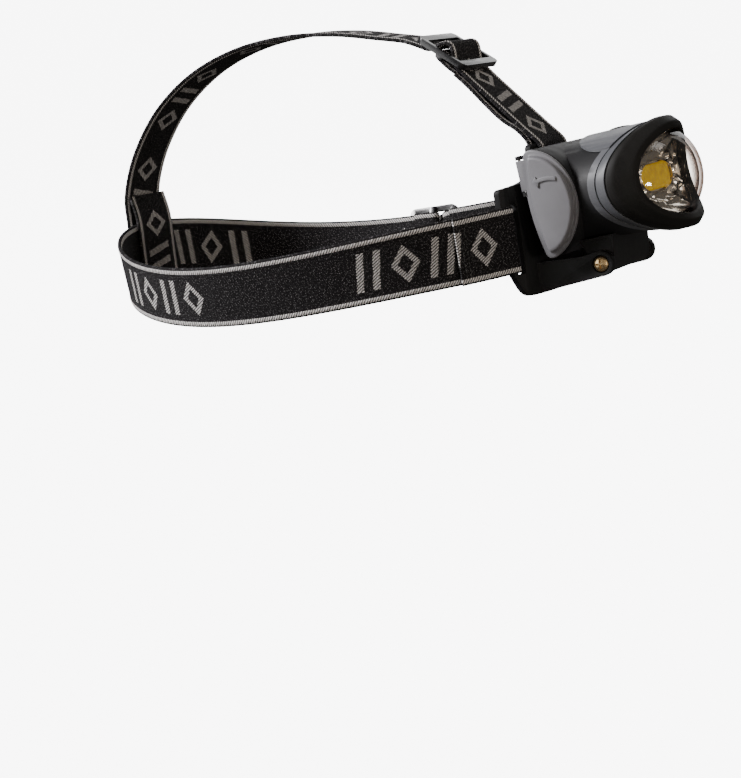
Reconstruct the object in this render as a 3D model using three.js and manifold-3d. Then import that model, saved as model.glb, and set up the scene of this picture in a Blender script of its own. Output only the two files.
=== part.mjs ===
// LED headlamp: a tilting lamp head on a forehead bracket, with a woven elastic
// headband and a crown strap. Millimetres, +Z up, +X the way the wearer faces,
// +Y the wearer's left. The origin is the middle of the head opening.

import * as THREE from 'three';
import { mergeVertices } from 'three/addons/utils/BufferGeometryUtils.js';
import Module from 'manifold-3d';

const wasm = await Module();
wasm.setup();

// ---------------------------------------------------------------- dimensions

// Headband path, an oval that rises towards the forehead
const BAND_A = 95.2;                 // half length, front to back
const BAND_B = 76.8;                 // half width
const BAND_RISE = 0.199;             // slope of the path along X
const BAND_SAG = 0.00115;            // quadratic part of that slope, per mm
const BAND_TWIST = -0.0000088;       // cubic part, per mm squared
const LEAN_SIDE = 17.9;              // outward lean of the webbing's top edge, degrees
const LEAN_COS = -11.4;
const LEAN_COS2 = -21.5;

// Webbing
const WEB_WIDTH = 25;
const WEB_THICK = 1.3;
const LAYER_PITCH = 1.75;            // centre to centre of two webbing layers
const INNER_PITCH = 3.1;             // the same where a flat layer lies inside the curved band
const GAP = 0.35;                    // running clearance between touching pieces

// Bracket, measured from the middle of the forehead
const FOREHEAD = new THREE.Vector3(95, 0, 21.8);
const PLATE_PITCH = THREE.MathUtils.degToRad(10);
const PLATE_THICK = 2.2;
const PLATE_SET_BACK = 2.6;          // plate's middle surface behind the forehead point
const PLATE_WRAP = 6.9;              // how far the wings sweep back
const WING_Y = 33.6;                 // middle of the bar the headband loops over
const WING_BAR = 3;
const PLATE_HALF = WING_Y + WING_BAR / 2;
const PLATE_TOP = 19.3;
const PLATE_BOTTOM = -22;
const SLOT_HALF = 13.3;
const SIDE_SLOT = 3.6;
const CROWN_BAR_W = 31.5;             // height of the bar the crown strap loops over
const CROWN_BAR_HALF = 1.8;
const CROWN_SLOT = 5;
const TAB_HALF = 17;

// Hinge between bracket and lamp, in the lamp's own frame
const LAMP_PITCH = THREE.MathUtils.degToRad(15);
const HINGE_U = 20.5;
const HINGE_W = -15.2;
const EAR_RADIUS = 4.7;
const LUG_RADIUS = 4;
const EAR_INNER = 19;
const EAR_OUTER = 22.4;
const SCREW_RADIUS = 1.5;
const SCREW_HEAD_RADIUS = 3;
const SCREW_HEAD_HEIGHT = 1.8;
const WASHER = 0.5;

// Lamp body, in the lamp's own frame: u forward, y left, w up
const AXIS_W = 11.6;                 // height of the beam axis
const CASE_NEAR = -28.6;
const CASE_FAR = 29;
const CASE_WALL = 1.6;
const BARREL_A = 29.4;
const BARREL_B = 19.5;
const FRONT_WRAP = 14;               // how far the front ovals sweep back at the sides
const SEAM_U = 42.3;                 // seam of the grey collar at the middle
const BEZEL_CHIN = 2;                // how far the bezel's lip juts forward at the bottom
const OVAL_POWER = 2.2;              // 2 is an ellipse, more is squarer
const OVAL_STEPS = 40;
const CURVE_STEPS = 7;                // points on each curve of a drawn outline

const CELL_LENGTH = 44.5;
const CELL_RADIUS = 5.25;
const CELL_NEAR = -24.2;
const CELLS = [[8.9, 22.3], [11.3, 11.4], [8.9, 0.5]];

const BUTTON_U = 30.5;
const BUTTON_RADIUS = 4.6;

// Battery cap
const CAP_HINGE_U = 0.7;
const CAP_HINGE_Y = -29.2;
const KNUCKLE_RADIUS = 1.5;
const KNUCKLE_LOW = 17.2;
const KNUCKLE_HIGH = 28.6;
const EAR_KNOB = 1.4;
const KNOB_HEIGHTS = [[KNUCKLE_LOW - 1.8, KNUCKLE_LOW - GAP],
  [KNUCKLE_HIGH + GAP, KNUCKLE_HIGH + 1.8]];

// Crown strap and its slider
const ARC_CENTRE = new THREE.Vector2(20, 32);
const ARC_RADIUS = 60;
const SLIDER_ANGLE = THREE.MathUtils.degToRad(62.6);
const ADJUSTER_T = THREE.MathUtils.degToRad(270);

// Three-bar glides
const GLIDE_HALF_LENGTH = 11.4;
const GLIDE_HALF_WIDTH = 15.6;
const GLIDE_LOW = 1.05;              // underside above the webbing's middle line
const GLIDE_HIGH = 3.25;
const END_BAR_INNER = 7.9;
const CENTRE_BAR_HALF = 1.5;
const CENTRE_BAR_LOW = -0.2;
const CENTRE_BAR_HIGH = 1.2;
const BUMP_HEIGHT = 4;
const BUMP_HALF = 7.4;

// ------------------------------------------------------------------ materials

function finish(color, roughness, metalness = 0, opacity = 1) {
  return new THREE.MeshStandardMaterial({
    color, roughness, metalness, opacity, transparent: opacity < 1,
  });
}

const FINISHES = {
  black: finish(0x121214, 0.5),
  grey: finish(0x8e8c98, 0.55),
  rubber: finish(0x0c0c0c, 0.85),
  clear: finish(0xf4f6f8, 0.05, 0, 0.3),
  chrome: finish(0xdcdcdc, 0.08, 1),
  phosphor: finish(0xd8b414, 0.5),
  aluminium: finish(0xb8babd, 0.4, 0.9),
  steel: finish(0x9a9a9c, 0.35, 1),
  brass: finish(0xb9935a, 0.35, 1),
  board: finish(0x1c5a34, 0.55),
  cell: finish(0x2f3f6a, 0.35, 0.3),
  webbing: finish(0x1b1a1b, 0.9),
  foam: finish(0x18181a, 0.95),
  redWire: finish(0xa01c18, 0.5),
  blackWire: finish(0x141414, 0.5),
};

// ------------------------------------------------------------ solid utilities

const WELD = 1e-4;                   // points closer than this are one point

/** Indexed geometry from points and triangles, closed up and facing out. */
function closedGeometry(points, triangles) {
  const onGrid = points.map((value) => Math.round(value / WELD) * WELD);
  const geometry = new THREE.BufferGeometry();
  geometry.setAttribute('position', new THREE.Float32BufferAttribute(onGrid, 3));
  geometry.setIndex(triangles);
  const merged = mergeVertices(geometry, WELD);
  const index = merged.getIndex().array;
  const kept = [];
  for (let i = 0; i < index.length; i += 3) {
    const [a, b, c] = [index[i], index[i + 1], index[i + 2]];
    if (a !== b && b !== c && a !== c) {
      kept.push(a, b, c);
    }
  }
  const position = merged.getAttribute('position');
  const [p, q, r] = [new THREE.Vector3(), new THREE.Vector3(), new THREE.Vector3()];
  let volume = 0;
  for (let i = 0; i < kept.length; i += 3) {
    p.fromBufferAttribute(position, kept[i]);
    q.fromBufferAttribute(position, kept[i + 1]);
    r.fromBufferAttribute(position, kept[i + 2]);
    volume += p.dot(q.cross(r));
  }
  if (volume < 0) {
    kept.reverse();
  }
  merged.setIndex(kept);
  return merged;
}

/** Bare, merged copy of a three.js geometry. */
function bare(source) {
  const points = Array.from(source.getAttribute('position').array);
  const index = source.getIndex();
  const triangles = index ? Array.from(index.array) : [...Array(points.length / 3).keys()];
  return closedGeometry(points, triangles);
}

function toSolid(source) {
  const geometry = bare(source);
  return new wasm.Manifold(new wasm.Mesh({
    numProp: 3,
    vertProperties: new Float32Array(geometry.getAttribute('position').array),
    triVerts: new Uint32Array(geometry.getIndex().array),
  }));
}

function fromSolid(solid) {
  const mesh = solid.getMesh();
  const geometry = new THREE.BufferGeometry();
  geometry.setAttribute('position', new THREE.Float32BufferAttribute(mesh.vertProperties, 3));
  geometry.setIndex(Array.from(mesh.triVerts));
  return geometry;
}

/** First geometry with the others added. */
function join(first, ...others) {
  return fromSolid(others.reduce((solid, g) => solid.add(toSolid(g)), toSolid(first)));
}

/** First geometry with the others cut away. */
function cut(first, ...others) {
  return fromSolid(others.reduce((solid, g) => solid.subtract(toSolid(g)), toSolid(first)));
}

function common(first, second) {
  return fromSolid(toSolid(first).intersect(toSolid(second)));
}

/** Skin over a row of outlines with equal point counts; a ring when closed. */
function loft(outlines, closed) {
  const count = outlines[0].length;
  const points = outlines.flat().flatMap((p) => [p.x, p.y, p.z]);
  const triangles = [];
  const bands = closed ? outlines.length : outlines.length - 1;
  for (let i = 0; i < bands; i += 1) {
    const here = i * count;
    const next = ((i + 1) % outlines.length) * count;
    for (let j = 0; j < count; j += 1) {
      const k = (j + 1) % count;
      triangles.push(here + j, here + k, next + k, here + j, next + k, next + j);
    }
  }
  if (!closed) {
    const last = (outlines.length - 1) * count;
    for (let j = 1; j < count - 1; j += 1) {
      triangles.push(0, j + 1, j, last, last + j, last + j + 1);
    }
  }
  return closedGeometry(points, triangles);
}

/** Flat shape drawn in two axes, pushed along the third. */
function slab(shape, axes, from, to, curveSegments = CURVE_STEPS) {
  const geometry = new THREE.ExtrudeGeometry(shape, {
    depth: to - from, bevelEnabled: false, curveSegments,
  });
  const place = {
    uy: new THREE.Matrix4().makeTranslation(0, 0, from),
    uw: new THREE.Matrix4().makeRotationX(Math.PI / 2).setPosition(0, to, 0),
    yw: new THREE.Matrix4().set(0, 0, 1, from, 1, 0, 0, 0, 0, 1, 0, 0, 0, 0, 0, 1),
  };
  return geometry.applyMatrix4(place[axes]);
}

function box(low, high) {
  const [x, y, z] = high.map((value, i) => value - low[i]);
  return new THREE.BoxGeometry(x, y, z)
    .translate(low[0] + x / 2, low[1] + y / 2, low[2] + z / 2);
}

/** Solid of revolution about a line through (a, b), along one axis. */
function turned(profile, axis, a, b, segments = 24) {
  const geometry = new THREE.LatheGeometry(profile.map(([r, t]) => new THREE.Vector2(r, t)),
    segments);
  if (axis === 'u') {
    return geometry.rotateZ(-Math.PI / 2).translate(0, a, b);
  }
  if (axis === 'w') {
    return geometry.rotateX(Math.PI / 2).translate(a, b, 0);
  }
  return geometry.translate(a, 0, b);
}

function rod(axis, a, b, radius, from, to, segments = 24) {
  return turned([[0, from], [radius, from], [radius, to], [0, to]], axis, a, b, segments);
}

function washer(axis, a, b, inner, outer, from, to, segments = 24) {
  return turned([[inner, from], [outer, from], [outer, to], [inner, to], [inner, from]],
    axis, a, b, segments);
}

function roundedRectangle(left, bottom, right, top, radius) {
  const shape = new THREE.Shape();
  shape.moveTo(left + radius, bottom);
  shape.lineTo(right - radius, bottom);
  shape.absarc(right - radius, bottom + radius, radius, -Math.PI / 2, 0);
  shape.lineTo(right, top - radius);
  shape.absarc(right - radius, top - radius, radius, 0, Math.PI / 2);
  shape.lineTo(left + radius, top);
  shape.absarc(left + radius, top - radius, radius, Math.PI / 2, Math.PI);
  shape.lineTo(left, bottom + radius);
  shape.absarc(left + radius, bottom + radius, radius, Math.PI, Math.PI * 1.5);
  return shape;
}

function rectangle(left, bottom, right, top) {
  const shape = new THREE.Shape();
  shape.moveTo(left, bottom);
  shape.lineTo(right, bottom);
  shape.lineTo(right, top);
  shape.lineTo(left, top);
  shape.closePath();
  return shape;
}

// ---------------------------------------------------------- ovals of the head

/** Point t round the oval of half axes a and b: u0 forward at its middle, wrap further
 *  back at its sides and chin further forward at its bottom. */
function ovalPoint(t, [a, b, u0, wrap, chin = 0]) {
  const across = Math.sign(Math.cos(t)) * Math.abs(Math.cos(t)) ** (2 / OVAL_POWER);
  const upward = Math.sign(Math.sin(t)) * Math.abs(Math.sin(t)) ** (2 / OVAL_POWER);
  const forward = u0 - wrap * across * across + chin * Math.max(0, -upward);
  return new THREE.Vector3(forward, a * across, AXIS_W + b * upward);
}

/** Ring whose section has one corner for each row [a, b, u0, wrap]. */
function ovalRing(rows, steps = OVAL_STEPS) {
  const outlines = [];
  for (let i = 0; i < steps; i += 1) {
    const t = (i / steps) * Math.PI * 2;
    outlines.push(rows.map((row) => ovalPoint(t, row)));
  }
  return loft(outlines, true);
}

function stadium(halfLength, halfHeight) {
  return roundedRectangle(-halfLength, AXIS_W - halfHeight, halfLength, AXIS_W + halfHeight,
    halfHeight - 0.01);
}

/** Leaf-shaped section of the battery case, drawn inset by a wall thickness. */
function caseSection(inset) {
  const tip = Math.max(0.7, 2.6 - inset);
  const pull = 1.8 * Math.max(0, inset - 1.9);
  const [topU, topW] = [5.4 + pull * 0.2, AXIS_W + 17.6 - pull];
  const [lowU, lowW] = [5.9 + pull * 0.2, AXIS_W - 18.3 + pull];
  const shape = new THREE.Shape();
  shape.moveTo(lowU - tip * 0.9, lowW - tip * 0.25);
  shape.quadraticCurveTo(-1.1 + inset, AXIS_W + 1, topU - tip * 0.95, topW + tip * 0.2);
  shape.quadraticCurveTo(topU - tip * 0.8, topW + tip, topU + tip * 0.4, topW + tip * 0.95);
  shape.bezierCurveTo(16.6 - inset, topW - 0.6, 20.4 - inset, AXIS_W + 7.5,
    20.4 - inset, AXIS_W - 0.5);
  shape.bezierCurveTo(20.4 - inset, AXIS_W - 8, 15.2 - inset, lowW + 0.8,
    lowU + tip * 0.6, lowW - tip * 0.8);
  shape.quadraticCurveTo(lowU - tip * 0.5, lowW - tip * 1.15, lowU - tip * 0.9,
    lowW - tip * 0.25);
  return shape;
}

// -------------------------------------------------------------------- webbing

/** Ribbon through stations of point, width direction and face direction. */
function ribbon(stations, width = WEB_WIDTH, thick = WEB_THICK) {
  const outlines = stations.map(({ point, across, face }) => {
    const corner = (a, f) => point.clone()
      .addScaledVector(across, (a * width) / 2)
      .addScaledVector(face, (f * thick) / 2);
    return [corner(-1, -1), corner(1, -1), corner(1, 1), corner(-1, 1)];
  });
  return loft(outlines, false);
}

function bandPoint(t) {
  const x = BAND_A * Math.cos(t);
  return new THREE.Vector3(x, -BAND_B * Math.sin(t),
    BAND_RISE * x + BAND_SAG * x * x + BAND_TWIST * x * x * x);
}

/** Headband station at angle t, moved out from the path by an offset. */
function bandStation(t, offset = 0) {
  const step = 1e-3;
  const point = bandPoint(t);
  const along = bandPoint(t + step).sub(bandPoint(t - step)).normalize();
  const up = new THREE.Vector3(0, 0, 1).addScaledVector(along, -along.z).normalize();
  const out = new THREE.Vector3().crossVectors(up, along);
  const cos = Math.cos(t);
  const lean = THREE.MathUtils.degToRad(LEAN_SIDE + LEAN_COS * cos + LEAN_COS2 * cos * cos);
  const across = up.clone().multiplyScalar(Math.cos(lean)).addScaledVector(out, Math.sin(lean));
  const face = out.clone().multiplyScalar(Math.cos(lean)).addScaledVector(up, -Math.sin(lean));
  return { point: point.addScaledVector(face, offset), across, face };
}

/** Evenly spaced stations of the headband between two angles, in degrees. */
function bandRun(fromDeg, toDeg, count, offset) {
  const stations = [];
  for (let i = 0; i <= count; i += 1) {
    const f = i / count;
    const t = THREE.MathUtils.degToRad(fromDeg + (toDeg - fromDeg) * f);
    stations.push(bandStation(t, typeof offset === 'function' ? offset(f) : offset));
  }
  return stations;
}

// ---- frames of the bracket plate

const plateMatrix = new THREE.Matrix4().makeRotationY(-PLATE_PITCH).setPosition(FOREHEAD);

function plateSurface(y) {
  return -PLATE_SET_BACK - PLATE_WRAP * Math.abs(y / WING_Y) ** 3;
}

/** Station on the plate at y, moved out from its middle surface by an offset. */
function wingStation(y, offset) {
  const slope = -3 * PLATE_WRAP * Math.sign(y) * (Math.abs(y) ** 2 / WING_Y ** 3);
  const face = new THREE.Vector3(1, -slope, 0).normalize();
  const point = new THREE.Vector3(plateSurface(y), y, 0).addScaledVector(face, offset);
  return {
    point: point.applyMatrix4(plateMatrix),
    across: new THREE.Vector3(0, 0, 1).transformDirection(plateMatrix),
    face: face.transformDirection(plateMatrix),
  };
}

const LOOP_OFFSET = PLATE_THICK / 2 + GAP + WEB_THICK / 2;

/** Half turn round the slot edge of a wing, from the inner face to the outer. */
function wingTurn(side) {
  const edge = side * (PLATE_HALF - WING_BAR);
  const centre = wingStation(edge, 0);
  const along = new THREE.Vector3().crossVectors(centre.across, centre.face)
    .multiplyScalar(-side);
  const stations = [];
  for (let i = 0; i <= 8; i += 1) {
    const angle = Math.PI * (i / 8);
    const face = centre.face.clone().multiplyScalar(-Math.cos(angle))
      .addScaledVector(along, Math.sin(angle));
    stations.push({
      point: centre.point.clone().addScaledVector(face, LOOP_OFFSET),
      across: centre.across,
      face: face.clone(),
    });
  }
  return stations;
}

/** Turns a run over, for webbing that comes back with its other face out. */
function flipped(stations) {
  return stations.map(({ point, across, face }) => ({
    point, across, face: face.clone().negate(),
  }));
}

// ---- the three-bar glides

/** Height of the webbing over a glide's centre bar, s along the webbing. */
function bump(s) {
  if (Math.abs(s) >= BUMP_HALF) {
    return 0;
  }
  return BUMP_HEIGHT * Math.cos((Math.PI * s) / (2 * BUMP_HALF)) ** 2;
}

/** Glide drawn flat: s along X, width along Y, height along Z. */
function glideGeometry() {
  const frame = roundedRectangle(-GLIDE_HALF_LENGTH, -GLIDE_HALF_WIDTH, GLIDE_HALF_LENGTH,
    GLIDE_HALF_WIDTH, 2.5);
  frame.holes.push(rectangle(-END_BAR_INNER, -SLOT_HALF, END_BAR_INNER, SLOT_HALF));
  const rim = slab(frame, 'uy', GLIDE_LOW, GLIDE_HIGH, 4);
  const bar = box([-CENTRE_BAR_HALF, -SLOT_HALF - 1, CENTRE_BAR_LOW],
    [CENTRE_BAR_HALF, SLOT_HALF + 1, CENTRE_BAR_HIGH]);
  const feet = [-1, 1].map((side) => box([-CENTRE_BAR_HALF, side > 0 ? SLOT_HALF : -SLOT_HALF - 2,
    CENTRE_BAR_LOW], [CENTRE_BAR_HALF, side > 0 ? SLOT_HALF + 2 : -SLOT_HALF, GLIDE_LOW + 0.5]));
  return join(rim, bar, ...feet);
}

/** Webbing end looped round a glide's centre bar, in the glide's own s and h. */
function endLoop() {
  const turns = [[7.4, -2.35], [4, -2.1], [0, -1.3], [-2, -0.8], [-2.75, 0.5], [-2, 1.8],
    [0, 2.2], [2, 1.5], [3.3, 0.15], [4.9, -0.9]];
  const curve = new THREE.CatmullRomCurve3(turns.map(([s, h]) => new THREE.Vector3(s, 0, h)),
    false, 'centripetal');
  return ribbonAlong(curve, 30, WEB_WIDTH, 1);
}

/** Ribbon along a curve in the XZ plane, its width along Y. */
function ribbonAlong(curve, steps, width = WEB_WIDTH, thick = WEB_THICK) {
  const across = new THREE.Vector3(0, 1, 0);
  const stations = [];
  for (let i = 0; i <= steps; i += 1) {
    const along = curve.getTangentAt(i / steps);
    stations.push({
      point: curve.getPointAt(i / steps),
      across,
      face: new THREE.Vector3().crossVectors(along, across),
    });
  }
  return ribbon(stations, width, thick);
}

// ------------------------------------------------------------ the scene graph

const group = new THREE.Group();
const lamp = new THREE.Group();
lamp.position.copy(FOREHEAD);
lamp.rotation.y = -LAMP_PITCH;
const bracket = new THREE.Group();
bracket.position.copy(FOREHEAD);
bracket.rotation.y = -PLATE_PITCH;
group.add(lamp, bracket);

function addPart(parent, name, geometry, material) {
  const mesh = new THREE.Mesh(geometry, FINISHES[material]);
  mesh.name = name;
  parent.add(mesh);
  return mesh;
}

// ------------------------------------------------------------------ lamp body

function housingShell() {
  const outer = slab(caseSection(0), 'uw', CASE_NEAR, CASE_FAR);
  const barrel = ovalRing([
    [0, 0, 10, 0], [26.8, 18.9, 10, 0], [BARREL_A, BARREL_B, 38.8, FRONT_WRAP],
    [28, 17.7, 38.8, FRONT_WRAP], [28, 17.7, 45.4, FRONT_WRAP],
    [26.4, 16.1, 45.4, FRONT_WRAP], [24.6, 16.1, 23.4, 0], [0, 0, 23.4, 0],
  ]);
  const lug = new THREE.Shape();
  lug.moveTo(HINGE_U - LUG_RADIUS, HINGE_W);
  lug.absarc(HINGE_U, HINGE_W, LUG_RADIUS, Math.PI, 2 * Math.PI);
  lug.lineTo(HINGE_U + LUG_RADIUS + 1.2, AXIS_W - BARREL_B + 2.5);
  lug.lineTo(HINGE_U - LUG_RADIUS - 1, AXIS_W - BARREL_B + 2.5);
  const ears = KNOB_HEIGHTS.flatMap(([low, high]) => [
      rod('w', CAP_HINGE_U, CAP_HINGE_Y, EAR_KNOB, low, high, 16),
      box([CAP_HINGE_U, CASE_NEAR, low], [4, CASE_NEAR + 2, high]),
    ]);
  const hollows = [
    slab(caseSection(CASE_WALL), 'uw', CASE_NEAR - 2, CASE_FAR - 2),
    rod('u', 21.6, AXIS_W, 1.4, 12, 26, 12),
    rod('w', BUTTON_U, 0, BUTTON_RADIUS + GAP, AXIS_W + 10, AXIS_W + 24),
    rod('y', HINGE_U, HINGE_W, SCREW_RADIUS + 0.05, -20, 20),
    rod('w', CAP_HINGE_U, CAP_HINGE_Y, 0.7, KNUCKLE_LOW - 4, KNUCKLE_HIGH + 4, 16),
    rod('w', CAP_HINGE_U, CAP_HINGE_Y, KNUCKLE_RADIUS + GAP, KNUCKLE_LOW - GAP,
      KNUCKLE_HIGH + GAP, 16),
  ];
  const lugSolid = slab(lug, 'uw', -EAR_INNER + 0.3 + WASHER, EAR_INNER - 0.3 - WASHER);
  return cut(join(outer, barrel, lugSolid, ...ears), ...hollows);
}

function rearCollar() {
  const ring = ovalRing([
    [28.4, 18.1, 39.2, FRONT_WRAP], [30.4, 19.9, 39.2, FRONT_WRAP],
    [30.5, 20, SEAM_U - 0.2, FRONT_WRAP], [28.4, 18.1, SEAM_U - 0.2, FRONT_WRAP],
  ]);
  const skin = ovalRing([
    [BARREL_A + 0.35, BARREL_B + 0.35, 10, 0], [BARREL_A + 1.1, BARREL_B + 1.1, 10, 0],
    [BARREL_A + 1.1, BARREL_B + 1.1, SEAM_U - 0.2, FRONT_WRAP],
    [BARREL_A + 0.35, BARREL_B + 0.35, SEAM_U - 0.2, FRONT_WRAP],
  ]);
  const tongue = roundedRectangle(19, -23, 60, 23, 12);
  tongue.holes.push(new THREE.Path().absarc(BUTTON_U, 0, BUTTON_RADIUS + GAP, 0,
    Math.PI * 2, true));
  return join(ring, common(skin, slab(tongue, 'uy', AXIS_W + 8, AXIS_W + 30)));
}

function frontCollar() {
  return ovalRing([
    [28.4, 18.1, SEAM_U + 0.2, FRONT_WRAP], [30.5, 20, SEAM_U + 0.2, FRONT_WRAP],
    [31.3, 21.4, 46.9, 14.6], [28.4, 18.1, 46.9, 14.6],
  ]);
}

function bezelRing() {
  return ovalRing([
    [28.4, 18.1, 47.3, 14.6], [31.4, 21.3, 47.3, 14.6], [31.3, 21.2, 49.4, 13.6, BEZEL_CHIN],
    [28, 18.6, 52, 9.4, BEZEL_CHIN * 0.8], [25.7, 16, 52.1, 7.8], [25.3, 15.6, 50.8, 7.8],
    [26.2, 16.6, 48.4, 8.4],
  ]);
}

function lensGasket() {
  return ovalRing([
    [24.9, 15.3, 46.6, 8.2], [26.4, 16.6, 46.6, 8.8], [26, 16.4, 47.9, 8.6],
    [24.9, 15.3, 48.9, 8.2],
  ]);
}

function lens() {
  const rim = [24.8, 15.2, 50.8, 7.8];
  const wall = 1.6;
  const peak = 57;
  const rings = 5;
  const outer = [];
  for (let i = 0; i <= rings; i += 1) {
    const r = i / rings;
    outer.push([rim[0] * r, rim[1] * r, peak - (peak - rim[2]) * r ** 2.4, rim[3] * r ** 2.4]);
  }
  const inner = outer.map(([a, b, u, wrap]) => [a * 0.965, b * 0.965, u - wall, wrap]).reverse();
  return ovalRing([...outer, ...inner]);
}

function reflector() {
  return ovalRing([
    [24.4, 14.95, 48.6, 7.9], [24.75, 15.22, 47.6, 7.9], [20.4, 10.2, 42.2, 2.4],
    [17, 6.5, 40.5, 0], [16, 5.6, 41.2, 0], [20, 9.6, 43.2, 2.4],
  ]);
}

function contactSpring(u, w) {
  class Coil extends THREE.Curve {
    getPoint(f, target = new THREE.Vector3()) {
      const angle = f * Math.PI * 2 * 3;
      const radius = 3.4 - 1.5 * f;
      return target.set(u + radius * Math.cos(angle), 25.6 - 4.3 * f,
        w + radius * Math.sin(angle));
    }
  }
  const wire = new THREE.Shape().absarc(0, 0, 0.3, 0, Math.PI * 2);
  return new THREE.ExtrudeGeometry(wire, {
    steps: 30, extrudePath: new Coil(), curveSegments: 3, bevelEnabled: false,
  });
}

function addLampBody() {
  addPart(lamp, 'housing_shell', housingShell(), 'black');
  addPart(lamp, 'collar_rear', rearCollar(), 'grey');
  addPart(lamp, 'collar_front', frontCollar(), 'grey');
  addPart(lamp, 'bezel_ring', bezelRing(), 'black');
  addPart(lamp, 'lens_gasket', lensGasket(), 'rubber');
  addPart(lamp, 'lens', lens(), 'clear');
  addPart(lamp, 'reflector', reflector(), 'chrome');
  addPart(lamp, 'cob_phosphor', slab(stadium(15.2, 4.9), 'yw', 39.3, 40.1, 6), 'phosphor');
  addPart(lamp, 'cob_board', slab(stadium(17.2, 6.8), 'yw', 37.7, 39, 6), 'board');
  addPart(lamp, 'heat_spreader', slab(stadium(16.4, 6.2), 'yw', 35.6, 37.4, 6), 'aluminium');
}

// ------------------------------------------------------------- power and switch

function addElectrics() {
  CELLS.forEach(([u, w], i) => {
    const near = CELL_NEAR;
    const far = near + CELL_LENGTH;
    const nubAtFar = i !== 1;
    const nub = [[0, near], [CELL_RADIUS - 0.6, near], [CELL_RADIUS, near + 0.6],
      [CELL_RADIUS, far - 1.6], [CELL_RADIUS - 0.6, far - 1], [1.9, far - 1], [1.9, far],
      [0, far]];
    const profile = nubAtFar ? nub
      : nub.map(([r, t]) => [r, near + far - t]).reverse();
    addPart(lamp, `battery_${i + 1}`, turned(profile, 'y', u, w, 20), 'cell');
    addPart(lamp, `contact_spring_${i + 1}`, contactSpring(u, w), 'steel');
  });
  const board = slab(caseSection(CASE_WALL + 0.5), 'uw', 26, 26.7, 6);
  addPart(lamp, 'contact_board', board, 'board');
  const top = AXIS_W + 16;
  const under = top - 3.6;
  addPart(lamp, 'switch_button', join(
    turned([[0, 29.2], [BUTTON_RADIUS, 29.2], [BUTTON_RADIUS, 31.8], [3.8, 32.4], [2, 32.6],
      [0, 32.7]], 'w', BUTTON_U, 0),
    rod('w', BUTTON_U, 0, 1.2, 28.6, 29.4, 12)), 'rubber');
  addPart(lamp, 'push_switch', join(
    box([BUTTON_U - 3.5, -3.5, under - 0.9], [BUTTON_U + 3.5, 3.5, under + 1.4]),
    rod('w', BUTTON_U, 0, 1.5, under + 1, under + 2.4, 12)), 'black');
  addPart(lamp, 'switch_board', slab(roundedRectangle(BUTTON_U - 4.6, -10, BUTTON_U + 6, 10, 1),
    'uy', under - 2.6, under - 1.3, 3), 'board');
}

/** Lead of 1.2 mm wire through hand-placed points. */
function lead(points) {
  const path = new THREE.CatmullRomCurve3(points.map((p) => new THREE.Vector3(...p)));
  const section = new THREE.Shape().absarc(0, 0, 0.6, 0, Math.PI * 2);
  return new THREE.ExtrudeGeometry(section, {
    steps: 14, extrudePath: path, curveSegments: 3, bevelEnabled: false,
  });
}

function addLeads() {
  addPart(lamp, 'lead_positive', lead([[25.3, 20, 13.6], [27.2, 17.5, 15.5], [28, 12.5, 19.2],
    [28.6, 7, 20.6]]), 'redWire');
  addPart(lamp, 'lead_negative', lead([[25.3, 20, 9.6], [27.6, 16.5, 8.2], [31, 12.5, 8.2],
    [34.9, 9.5, 9.5]]), 'blackWire');
}

// ----------------------------------------------------------------- battery cap

function addBatteryCap() {
  const flange = slab(caseSection(0), 'uw', CASE_NEAR - 2.2, CASE_NEAR - 0.3);
  const panel = slab(caseSection(2.2), 'uw', CASE_NEAR - 4.4, CASE_NEAR - 2)
    .translate(0.6, 0, 0);
  const spigot = slab(caseSection(CASE_WALL + 0.5), 'uw', CASE_NEAR - 0.5, CASE_NEAR + 1.7);
  const knuckle = rod('w', CAP_HINGE_U, CAP_HINGE_Y, KNUCKLE_RADIUS, KNUCKLE_LOW,
    KNUCKLE_HIGH, 16);
  const strap = box([CAP_HINGE_U - 1.1, CASE_NEAR - 2.2, KNUCKLE_LOW],
    [4.2, CAP_HINGE_Y - 0.1, KNUCKLE_HIGH]);
  const pinBore = rod('w', CAP_HINGE_U, CAP_HINGE_Y, 0.7, 10, 40, 16);
  const knobRoom = KNOB_HEIGHTS.map(([low, high]) => rod('w', CAP_HINGE_U, CAP_HINGE_Y,
    EAR_KNOB + GAP, low - GAP, high + GAP, 16));
  const cap = cut(join(flange, panel, spigot, knuckle, strap), pinBore, ...knobRoom);
  addPart(lamp, 'battery_cap', cap, 'grey');
  addPart(lamp, 'cap_hinge_pin', rod('w', CAP_HINGE_U, CAP_HINGE_Y, 0.6,
    KNOB_HEIGHTS[0][0] - 0.1, KNOB_HEIGHTS[1][1] + 0.1, 16), 'steel');
  addPart(lamp, 'cap_contact_plate', slab(caseSection(CASE_WALL + 2), 'uw', CASE_NEAR + 2,
    CASE_NEAR + 2.5, 6), 'steel');
}

// -------------------------------------------------------- bracket and its hinge

const plateFromLamp = new THREE.Matrix4().makeRotationY(PLATE_PITCH - LAMP_PITCH);
const hingeInPlate = new THREE.Vector3(HINGE_U, 0, HINGE_W).applyMatrix4(plateFromLamp);

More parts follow.
